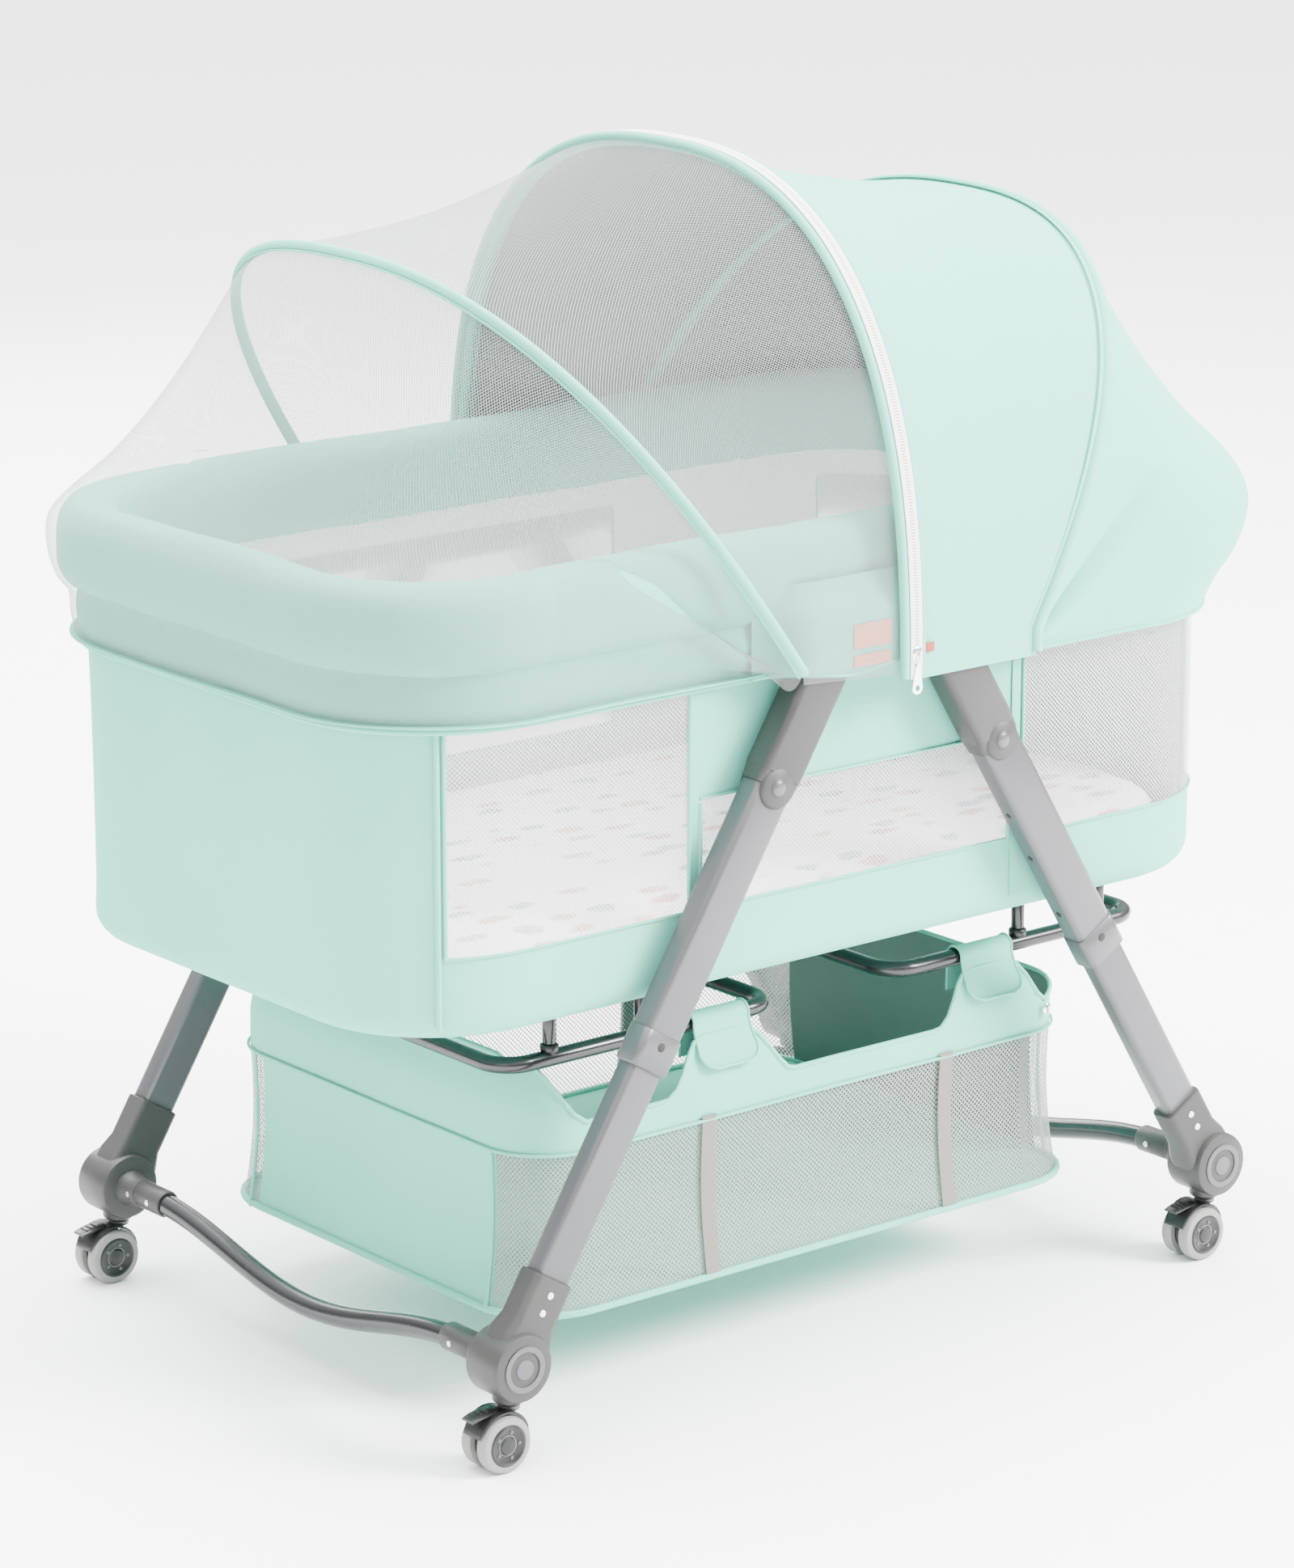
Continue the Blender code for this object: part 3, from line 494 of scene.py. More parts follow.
def make_print(name, rgb):
    """White cotton sheet with a sparse print of small pastel shapes."""
    made = Material(name, rgb, 0.85)
    at = made.coords()
    wobble = made.add("ShaderNodeTexNoise", {"Vector": at, "Scale": 60.0})
    offset = made.add("ShaderNodeVectorMath", {0: wobble.outputs["Color"], "Scale": 0.012}, operation="SCALE")
    moved = made.add("ShaderNodeVectorMath", {0: at, 1: offset.outputs[0]}, operation="ADD")
    stretched = made.add("ShaderNodeVectorMath", {0: moved.outputs[0], 1: (0.75, 1.5, 0.01)}, operation="MULTIPLY")
    cells = made.add("ShaderNodeTexVoronoi", {"Vector": stretched.outputs[0], "Scale": 24.0, "Randomness": 0.65})
    shape = made.ramp(cells.outputs["Distance"], 0.24, 0.33, 1.0, 0.0)
    pick = made.add("ShaderNodeSeparateColor", {"Color": cells.outputs["Color"]})
    ramp = made.add("ShaderNodeValToRGB", {"Fac": pick.outputs[0]})
    ramp.color_ramp.interpolation = "CONSTANT"
    stops = [(0.0, (0.16, 0.34, 0.31)), (0.27, (0.62, 0.20, 0.22)), (0.5, (0.66, 0.34, 0.17)), (0.7, (0.32, 0.30, 0.46)),
             (0.85, (0.26, 0.28, 0.30))]
    for index, (place, rgb_stop) in enumerate(stops):
        stop = ramp.color_ramp.elements[index] if index < 2 else ramp.color_ramp.elements.new(place)
        stop.position = place
        stop.color = (*rgb_stop, 1)
    shape = made.math("MULTIPLY", shape, made.ramp(made.noise(at, 260.0, 2.0), 0.3, 0.6, 0.45, 0.95))
    made.set(made.shader, {"Base Color": made.mix(shape, (*rgb, 1), ramp.outputs["Color"]), "Sheen Weight": 0.2})
    weave = made.math("MULTIPLY", made.waves(at, 0.0009, "X"), made.waves(at, 0.0009, "Y"))
    creases = made.math("MULTIPLY", made.noise(at, 14.0, 4.0), 14.0)
    made.bump(made.math("ADD", weave, creases), 0.0001, 0.8)
    return made.material


def make_metal(name, rgb, roughness, metallic, flake=0.15):
    """Sprayed or plated tube: fine flake, faint drawing lines and uneven gloss."""
    made = Material(name, rgb, roughness, metallic)
    at = made.coords()
    fine = made.noise(at, 1500.0, 2.0)
    broad = made.noise(at, 9.0, 4.0)
    tint = made.mix(made.ramp(fine, 0.3, 0.7, 0, flake), (*rgb, 1), shade(rgb, 1.5))
    tint = made.mix(made.ramp(broad, 0.4, 0.75, 0, 0.12), tint, shade(rgb, 0.8))
    made.set(made.shader, {
        "Base Color": tint, "Roughness": made.ramp(broad, 0.3, 0.7, roughness - 0.05, roughness + 0.08),
        "Coat Weight": 0.15, "Coat Roughness": 0.25,
    })
    made.bump(fine, 0.00003, 0.5)
    return made.material


def make_plastic(name, rgb, roughness, grain=1100.0):
    """Moulded plastic: spark-eroded grain, slight flow marks and rubbed gloss."""
    made = Material(name, rgb, roughness)
    at = made.coords()
    grains = made.add("ShaderNodeTexVoronoi", {"Vector": at, "Scale": grain}).outputs["Distance"]
    flow = made.noise(at, 25.0, 3.0)
    made.set(made.shader, {
        "Base Color": made.mix(made.ramp(flow, 0.3, 0.7), shade(rgb, 0.92), shade(rgb, 1.06)),
        "Roughness": made.ramp(flow, 0.3, 0.7, roughness - 0.06, roughness + 0.08),
        "Specular IOR Level": 0.4,
    })
    made.bump(grains, 0.00006, 0.5)
    return made.material


def make_ribbed(name, rgb, pitch, rib=0.00025, stripe=None):
    """Narrow woven webbing or zipper tape: ribs across its length, and a stripe down its middle."""
    made = Material(name, rgb, 0.75)
    uv = made.coords("UV")
    ribs = made.waves(uv, pitch, "X")
    base = made.mix(made.ramp(ribs, -1.0, 1.0), shade(rgb, 0.78), shade(rgb, 1.08))
    if stripe:
        middle = made.math("ABSOLUTE", made.add("ShaderNodeSeparateXYZ", {"Vector": uv}).outputs["Y"])
        teeth = made.math("LESS_THAN", middle, 0.0022)
        tooth = made.math("GREATER_THAN", made.waves(uv, 0.0026, "X"), -0.2)
        base = made.mix(teeth, base, made.mix(tooth, (0.30, 0.28, 0.22, 1), (*stripe, 1)))
    made.set(made.shader, {"Base Color": base, "Sheen Weight": 0.15})
    made.bump(ribs, rib, 0.6)
    return made.material


def make_wood(name, rgb):
    """Hardboard: pressed fibres."""
    made = Material(name, rgb, 0.75)
    at = made.coords()
    fibres = made.noise(at, 240.0, 6.0)
    made.set(made.shader, {"Base Color": made.mix(fibres, shade(rgb, 0.7), shade(rgb, 1.25))})
    made.bump(fibres, 0.0002, 0.5)
    return made.material


def make_materials(colors):
    mint, white = tuple(colors.mint), tuple(colors.white)
    made = {
        "mint": make_fabric("mint_weave", mint),
        "mint_lined": make_fabric("mint_lined", mint, back=white),
        "mint_hood": make_fabric("mint_hood", mint, back=tuple(colors.lining), wrinkle=0.0016),
        "mint_basket": make_fabric("mint_basket", mint, back=(0.11, 0.15, 0.142)),
        "mint_piping": make_fabric("mint_piping", tuple(c * 0.97 for c in mint), pitch=0.0008, wrinkle=0.0004, sheen=0.4),
        "mint_quilt": make_fabric("mint_quilt", mint, wrinkle=0.0022, sheen=0.35),
        "sheet": make_print("printed_sheet", white),
        "net": make_net("mosquito_net", tuple(colors.net), 0.0021, 0.20, 0.06),
        "window": make_net("window_net", tuple(c * 0.8 for c in white), 0.0030, 0.22, 0.04),
        "window_fine": make_net("window_fine_net", tuple(c * 0.95 for c in white), 0.0016, 0.35, 0.86),
        "basket_net": make_net("basket_net", (0.33, 0.36, 0.345), 0.0034, 0.40, 0.16),
        "webbing": make_ribbed("webbing", tuple(colors.webbing), 0.0016),
        "zipper": make_ribbed("zipper", (0.80, 0.82, 0.78), 0.0013, stripe=(0.86, 0.85, 0.80)),
        "tab": make_ribbed("sewn_tab", tuple(colors.tab), 0.0012),
        "tab_red": make_ribbed("sewn_tab_red", (0.35, 0.05, 0.02), 0.0012),
        "arm": make_plastic("arm_plastic", tuple(colors.arm), 0.45),
        "tube": make_metal("tube_silver", tuple(colors.tube), 0.36, 0.35),
        "dark": make_metal("dark_steel", tuple(colors.dark), 0.24, 0.75, flake=0.08),
        "bright": make_metal("bright_metal", (0.78, 0.78, 0.77), 0.2, 0.9, flake=0.02),
        "black": make_plastic("black_plastic", tuple(colors.black), 0.35),
        "tyre": make_plastic("tyre_rubber", tuple(colors.tyre), 0.55, grain=700.0),
        "board": make_wood("hardboard", (0.35, 0.30, 0.24)),
        "hole": make_plastic("hole_dark", (0.01, 0.01, 0.01), 0.7),
    }
    return made


MATERIALS = {}


# ---------------------------------------------------------------- mesh code


class Shape:
    """Collects points and faces, then becomes one piece."""

    def __init__(self):
        self.points, self.faces, self.uvs, self.slots = [], [], [], []

    def add(self, points, faces, matrix=None, uvs=None, slot=0):
        base = len(self.points)
        points = [Vector(p) for p in points]
        if matrix is not None:
            points = [matrix @ p for p in points]
            if matrix.determinant() < 0:
                faces = [face[::-1] for face in faces]
        self.points += points
        self.faces += [tuple(base + i for i in face) for face in faces]
        self.uvs += list(uvs) if uvs is not None else [(p.x + p.y, p.z) for p in points]
        self.slots += [slot] * len(faces)
        return self

    def piece(self, name, materials, body=None, slot=None, stands_for=(), smooth=50.0):
        mesh = bpy.data.meshes.new(name)
        mesh.from_pydata(self.points, [], self.faces)
        layer = mesh.uv_layers.new(name="metres")
        coords = np.array(self.uvs, np.float32)
        loops = np.empty(len(mesh.loops), np.int32)
        mesh.loops.foreach_get("vertex_index", loops)
        layer.data.foreach_set("uv", coords[loops].ravel())
        for material in [materials] if isinstance(materials, str) else materials:
            mesh.materials.append(MATERIALS[material])
        mesh.polygons.foreach_set("material_index", np.array(self.slots, np.int32))
        mesh.validate()
        mesh.shade_smooth()
        mesh.set_sharp_from_angle(angle=math.radians(smooth))
        obj = bpy.data.objects.new(name, mesh)
        bpy.context.scene.collection.objects.link(obj)
        if body:
            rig.ride(obj, body)
        if slot:
            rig.slot(obj, slot)
        if stands_for:
            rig.replaces(obj, *stands_for)
        return obj


def strips(rows, columns, closed=False, looped=False):
    """Quads between rows of columns. Closed joins each row's ends, and looped joins the last row to the first."""
    faces = []
    for row in range(rows if looped else rows - 1):
        after = (row + 1) % rows
        for column in range(columns if closed else columns - 1):
            right = (column + 1) % columns
            faces.append((row * columns + column, row * columns + right, after * columns + right, after * columns + column))
    return faces


def rounded(half_length, half_width, radius, center_x=0.0, steps=8):
    points = []
    for quarter, (sx, sy) in enumerate([(1, -1), (1, 1), (-1, 1), (-1, -1)]):
        for step in range(steps + 1):
            a = math.radians(-90 + 90 * quarter + 90 * step / steps)
            points.append((center_x + sx * (half_length - radius) + radius * math.cos(a),
                           sy * (half_width - radius) + radius * math.sin(a)))
    return points


def bar(shape, levels, matrix=None, steps=5, slot=0):
    """A rounded bar down -Z through (distance down, half width, half depth, corner radius)."""
    rings = [rounded(w, d, min(r, w, d), steps=steps) for _, w, d, r in levels]
    points = [(x, y, -level[0]) for level, ring in zip(levels, rings) for x, y in ring]
    count = len(rings[0])
    faces = [face[::-1] for face in strips(len(levels), count, closed=True)]
    faces += [tuple(range(count)), tuple(range((len(levels) - 1) * count, len(levels) * count))[::-1]]
    shape.add(points, faces, matrix, slot=slot)


def soft_bar(shape, width, depth, start, end, radius, matrix=None, ease=0.0012, slot=0):
    w, d = width / 2, depth / 2
    bar(shape, [(start, w - ease, d - ease, radius - ease), (start + ease * 0.3, w - ease * 0.3, d - ease * 0.3, radius),
                (start + ease, w, d, radius), (end - ease, w, d, radius),
                (end - ease * 0.3, w - ease * 0.3, d - ease * 0.3, radius), (end, w - ease, d - ease, radius - ease)],
        matrix, slot=slot)


def lathe(shape, profile, matrix=None, segments=40, slot=0):
    """Turns (radius, height) points round Z. Its ends are on the axis or closed with a face."""
    points, count = [], segments
    for radius, height in profile:
        points += [(radius * math.cos(2 * math.pi * i / count), radius * math.sin(2 * math.pi * i / count), height)
                   for i in range(count)]
    faces = strips(len(profile), count, closed=True)
    faces += [tuple(range(count))[::-1], tuple(range((len(profile) - 1) * count, len(profile) * count))]
    shape.add(points, faces, matrix, slot=slot)


def disc(shape, radius, low, high, matrix=None, ease=0.0008, segments=32, slot=0):
    lathe(shape, [(radius - ease, low), (radius, low + ease), (radius, high - ease), (radius - ease, high)],
          matrix, segments, slot)


def frames_along(path, normals=None, closed=False):
    count = len(path)
    found, carried = [], None
    for index, point in enumerate(path):
        before = path[index - 1] if index or closed else point
        after = path[(index + 1) % count] if index < count - 1 or closed else point
        along = (after - before).normalized()
        if normals is not None:
            normal = Vector(normals[index])
        else:
            normal = carried or (Vector((0, 0, 1)) if abs(along.z) < 0.9 else Vector((0, 1, 0)))
        normal = (normal - along * normal.dot(along)).normalized()
        carried = normal
        found.append((point, along, normal, along.cross(normal)))
    return found


def sweep(shape, path, profile, normals=None, closed=False, matrix=None, slot=0, scale=None):
    """Carries a closed profile of (across, outward) points along a path."""
    path = [Vector(p) for p in path]
    points, uvs, length = [], [], 0.0
    for index, (point, _, normal, across) in enumerate(frames_along(path, normals, closed)):
        if index:
            length += (path[index] - path[index - 1]).length
        size = scale[index] if scale else 1.0
        for u, v in profile:
            points.append(point + across * u * size + normal * v * size)
            uvs.append((length, u))
    count = len(profile)
    faces = [face[::-1] for face in strips(len(path), count, closed=True, looped=closed)]
    if not closed:
        faces += [tuple(range(count)), tuple(range((len(path) - 1) * count, len(path) * count))[::-1]]
    shape.add(points, faces, matrix, uvs, slot)


def circle(radius, sides=10):
    return [(radius * math.cos(2 * math.pi * i / sides), radius * math.sin(2 * math.pi * i / sides)) for i in range(sides)]


def flat(width, thickness, lift=0.0):
    w, t = width / 2, thickness / 2
    return [(-w, lift - t), (-w * 0.5, lift - t * 1.2), (w * 0.5, lift - t * 1.2), (w, lift - t), (w, lift + t),
            (w * 0.5, lift + t * 1.2), (-w * 0.5, lift + t * 1.2), (-w, lift + t)]


def smooth_path(points, step=0.01):
    """A Catmull-Rom curve through the points, sampled about every step."""
    points = [Vector(p) for p in points]
    found = []
    for index in range(len(points) - 1):
        a, b = points[index], points[index + 1]
        before = points[index - 1] if index else a
        after = points[index + 2] if index + 2 < len(points) else b
        count = max(2, int((b - a).length / step))
        for part in range(count):
            t = part / count
            found.append(0.5 * (2 * a + (b - before) * t + (2 * before - 5 * a + 4 * b - after) * t * t
                                + (3 * a - before - 3 * b + after) * t * t * t))
    return found + [points[-1]]


def marks(edges, step):
    """Places no further apart than step that include every edge."""
    found = []
    for low, high in zip(edges, edges[1:]):
        count = max(1, math.ceil((high - low) / step - 1e-6))
        found += [low + (high - low) * i / count for i in range(count)]
    return found + [edges[-1]]


def ease(share):
    share = min(1.0, max(0.0, share))
    return share * share * (3 - 2 * share)


def ripple(x, y, z, seed=0.0):
    return noise.noise(Vector((x + seed, y - seed, z + 2 * seed)))


def puff(obj, pinned, pressure, slack, cap, grid=None):
    """Fills the closed mesh with pressure as cloth with some slack, and keeps each point within cap of where it was.

    Grid is (columns, rows) for a looped grid, whose movement is then evened out so that no kink stays."""
    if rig.quick():
        return
    scene = bpy.context.scene
    mesh = obj.data
    start = np.empty(len(mesh.vertices) * 3, np.float32)
    mesh.vertices.foreach_get("co", start)
    group = obj.vertex_groups.new(name="held")
    group.add(pinned, 1.0, "REPLACE")
    cloth = obj.modifiers.new("filling", "CLOTH")
    settings = cloth.settings
    settings.quality = 4
    settings.mass = 0.2
    settings.tension_stiffness = settings.compression_stiffness = 12
    settings.shear_stiffness = 5
    settings.bending_stiffness = 0.4
    settings.shrink_min = -slack
    settings.use_pressure = True
    settings.uniform_pressure_force = pressure
    settings.vertex_group_mass = "held"
    settings.effector_weights.gravity = 0
    cloth.collision_settings.use_collision = False
    cloth.point_cache.frame_start, cloth.point_cache.frame_end = 1, 20
    for frame in range(1, 21):
        scene.frame_set(frame)
    graph = bpy.context.evaluated_depsgraph_get()
    moved = np.empty_like(start)
    obj.evaluated_get(graph).data.vertices.foreach_get("co", moved)
    obj.modifiers.remove(cloth)
    scene.frame_set(1)
    move = (moved - start).reshape(-1, 3)
    far = np.linalg.norm(move, axis=1, keepdims=True)
    if not np.isfinite(move).all() or far.max() > 0.5:
        raise RuntimeError(f"the filling of {obj.name} blew up")
    move *= np.minimum(1.0, cap / np.maximum(far, 1e-9))
    if grid:
        field = move.reshape(*grid, 3)
        for _ in range(4):
            for axis in (0, 1):
                field = (np.roll(field, 1, axis) + 2 * field + np.roll(field, -1, axis)) / 4
        move = field.reshape(-1, 3)
    mesh.vertices.foreach_set("co", (start + move.ravel()))
    mesh.update()


# ---------------------------------------------------------------- crib


def crib_at(crib, s, offset=0.0):
    """Point and outward direction at distance s round the wall, anticlockwise from the middle of the near side."""
    a, b = crib.half_length - crib.corner, crib.half_width - crib.corner
    quarter = crib.corner * math.pi / 2
    total = 4 * (a + b + quarter)
    s = s % total
    for center, start, straight in (
        ((a, -b), -90, a), ((a, b), 0, 2 * b), ((-a, b), 90, 2 * a), ((-a, -b), 180, 2 * b), ((a, -b), 270, a),
    ):
        out = Vector((math.cos(math.radians(start)), math.sin(math.radians(start))))
        along = Vector((-out.y, out.x))
        if s <= straight + 1e-9:
            base = Vector(center) + out * crib.corner - along * (straight - s)
            if start == 270:
                base = Vector((-a, -b)) + out * crib.corner + along * s
            point, normal = base, out
            break
        s -= straight
        if s <= quarter:
            angle = math.radians(start) + s / crib.corner
            normal = Vector((math.cos(angle), math.sin(angle)))
            point = Vector(center) + normal * crib.corner
            break
        s -= quarter
    return Vector((crib.center_x + point.x + normal.x * offset, point.y + normal.y * offset)), normal


def crib_round(crib):
    return 4 * (crib.half_length - crib.corner + crib.half_width - crib.corner + crib.corner * math.pi / 2)


def side_s(crib, x):
    return x - crib.center_x


def windows(crib):
    """(first s, last s, low z, high z) of each mesh window, near side then far side."""
    total = crib_round(crib)
    turn_32 = crib.half_length - crib.corner + crib.corner * math.radians(32)
    turn_62 = crib.half_length - crib.corner + crib.corner * math.radians(62)
    near = [(-turn_32, side_s(crib, -0.198), crib.band_z, crib.hem_z + 0.02),
            (side_s(crib, -0.186), side_s(crib, 0.168), crib.band_z, crib.panel_z),
            (side_s(crib, 0.184), turn_62, crib.band_z, crib.hem_z + 0.02)]
    middle = total / 2
    far = [(middle - turn_62, middle - side_s(crib, 0.40), crib.band_z, crib.hem_z + 0.02),
           (middle - side_s(crib, 0.154), middle + turn_32, crib.band_z, crib.hem_z + 0.02)]
    return near + far


def wall_depth(crib, s, z):
    """How far the cloth of the wall stands from its flat place: soft waves that fade towards its edges."""
    fade = ease((z - crib.floor_z) / 0.05) * ease((crib.hem_z + 0.03 - z) / 0.08)
    point, _ = crib_at(crib, s)
    return fade * (0.0022 * ripple(point.x * 6, point.y * 6, z * 3) - 0.0010) + 0.0005


def build_wall(settings):
    crib = settings.crib
    total = crib_round(crib)
    holes = windows(crib)
    edges = sorted({round(e % total, 6) for hole in holes for e in hole[:2]} | {0.0, round(total, 6)})
    places = marks(edges, 0.011)[:-1]
    profile = [(-0.11, crib.floor_z), (-0.06, crib.floor_z), (-crib.edge, crib.floor_z)]
    for step in range(1, 6):
        a = math.radians(90 * step / 5)
        profile.append((crib.edge * (math.sin(a) - 1), crib.floor_z + crib.edge * (1 - math.cos(a))))
    profile += [(0.0, z) for z in marks([crib.floor_z + crib.edge, crib.band_z, crib.panel_z, crib.hem_z + 0.02, crib.roll_z + 0.02], 0.013)[1:]]
    points, uvs = [], []
    for offset, z in profile:
        for s in places:
            (x, y), _ = crib_at(crib, s, offset + wall_depth(crib, s, z) - 0.0004)
            points.append((x, y, z))
            uvs.append((s, z))
    count = len(places)
    cloth, mesh, dense = [], [], []
    for face in strips(len(profile), count, closed=True):
        row, column = divmod(face[0], count)
        z = (profile[row][1] + profile[row + 1][1]) / 2
        after = places[column + 1] if column + 1 < count else total
        s = (places[column] + after) / 2
        open_here = any(
            low < z < high and ((first < s < last) or (first < s - total < last)) for first, last, low, high in holes
        )
        (cloth if not open_here else mesh if abs(s - total / 2) > total / 4 else dense).append(face)
    cloth.append(tuple(range(count))[::-1])
    wall = Shape().add(points, cloth, uvs=uvs).piece(
        "crib_wall_cloth", "mint_lined", "crib", "mint_fabric", ["crib_shell"])
    window = Shape().add(points, mesh, uvs=uvs).add(points, dense, uvs=uvs, slot=1).piece(
        "crib_window_net", ["window", "window_fine"], "crib", "net")
    for obj in (wall, window):
        drop_loose(obj)
    piping = Shape()
    for first, last, low, high in holes:
        for s in (first, last):
            path = [crib_point(crib, s, 0.0012 + wall_depth(crib, s, z), z) for z in marks([low, high - 0.004], 0.02)]
            sweep(piping, path, circle(0.0019, 8))
        for z in (low, high) if high < crib.hem_z else (low,):
            path = [crib_point(crib, s, 0.0008 + wall_depth(crib, s, z), z) for s in marks([first, last], 0.02)]
            sweep(piping, path, circle(0.0013, 8))
    for s in (holes[0][0] - 0.006, holes[2][1] + 0.006, total / 2 + 0.43, total / 2 - 0.5):
        path = [crib_point(crib, s, 0.0016 + wall_depth(crib, s, z), z) for z in marks([crib.floor_z + 0.012, crib.hem_z + 0.01], 0.02)]
        sweep(piping, path, circle(0.0026, 8))
    for s in (side_s(crib, -0.192), side_s(crib, 0.176)):
        path = [crib_point(crib, s, 0.0006 + wall_depth(crib, s, z), z) for z in marks([crib.floor_z + 0.02, crib.hem_z + 0.01], 0.02)]
        sweep(piping, path, flat(0.010, 0.0012))
    piped = piping.piece("crib_wall_piping", "mint_piping", "crib", "mint_fabric")
    flat_height = crib.roll_z + 0.02 - crib.floor_z + 0.10
    net_area = sum((last - first) * (high - low) for first, last, low, high in holes)
    wide = sum(last - first for first, last, _, _ in holes)
    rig.sheet(wall, flat=(total, flat_height), held="stretched", rests_on=["crib_shell"], area=total * flat_height - net_area,
             with_pieces=[piped])
    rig.sheet(window, flat=(wide, 0.22), held="stretched", rests_on=[wall], area=net_area)


def drop_loose(obj):
    import bmesh

    bm = bmesh.new()
    bm.from_mesh(obj.data)
    loose = [v for v in bm.verts if not v.link_faces]
    for v in loose:
        bm.verts.remove(v)
    bm.to_mesh(obj.data)
    bm.free()


def crib_point(crib, s, offset, z):
    (x, y), _ = crib_at(crib, s, offset)
    return Vector((x, y, z))


def build_mattress(settings):
    crib = settings.crib
    low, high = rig.box("mattress")
    inset = high.x - (crib.center_x + crib.half_length)
    middle, half = (low.z + high.z) / 2, (high.z - low.z) / 2 - 0.001
    shape = Shape()
    profile = []
    for step in range(9):
        a = math.radians(-90 + 180 * step / 8)
        profile.append((inset - 0.004 - 0.018 * (1 - math.cos(a)), middle + half * math.sin(a)))
    rings = []
    for offset, z in profile:
        rings.append([(x, y, z) for x, y in rounded(crib.half_length + offset, crib.half_width + offset, crib.corner + offset, crib.center_x, 12)])
    for inward in (0.06, 0.10):
        for where, z in ((0, low.z + 0.0015), (len(rings), high.z - 0.002)):
            ring = [(x, y, z) for x, y in rounded(crib.half_length + inset - inward, crib.half_width + inset - inward,
                                                  max(0.008, crib.corner + inset - inward), crib.center_x, 12)]
            rings.insert(where, ring)
    count = len(rings[0])
    points = [p for ring in rings for p in ring]
    faces = strips(len(rings), count, closed=True) + [tuple(range(count))[::-1], tuple(range((len(rings) - 1) * count, len(rings) * count))]
    pad = shape.add(points, faces).piece("mattress_padded", "sheet")
    remesh = pad.modifiers.new("even", "REMESH")
    remesh.mode = "VOXEL"
    remesh.voxel_size = 0.008
    bpy.context.view_layer.update()
    graph = bpy.context.evaluated_depsgraph_get()
    evened = bpy.data.meshes.new_from_object(pad.evaluated_get(graph))
    pad.modifiers.clear()
    pad.data = evened
    evened.materials.clear()
    evened.materials.append(MATERIALS["sheet"])
    evened.polygons.foreach_set("material_index", [0] * len(evened.polygons))
    held = [v.index for v in evened.vertices if v.co.z < middle - 0.010]
    puff(pad, held, 2.0, 0.02, 0.006)
    for v in pad.data.vertices:
        if v.co.z > middle:
            v.co.z += 0.0016 * ripple(v.co.x * 9, v.co.y * 9, 0, 3.0) - 0.001
        v.co.z = min(v.co.z, high.z + 0.004)
        v.co.z = max(v.co.z, low.z + 0.0002)
    pad.data.shade_smooth()
    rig.ride(pad, "crib")
    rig.slot(pad, "mattress_cover")
    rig.replaces(pad, "mattress")
    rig.padded(pad, fill=0.8)
    seam = Shape()
    path = [(x, y, middle) for x, y in rounded(crib.half_length + inset - 0.002, crib.half_width + inset - 0.002, crib.corner + inset, crib.center_x, 12)]
    sweep(seam, path, circle(0.0016, 8), closed=True)
    seam.piece("mattress_seam", "sheet", "crib", "mattress_cover")
    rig.ride(pad, "crib")


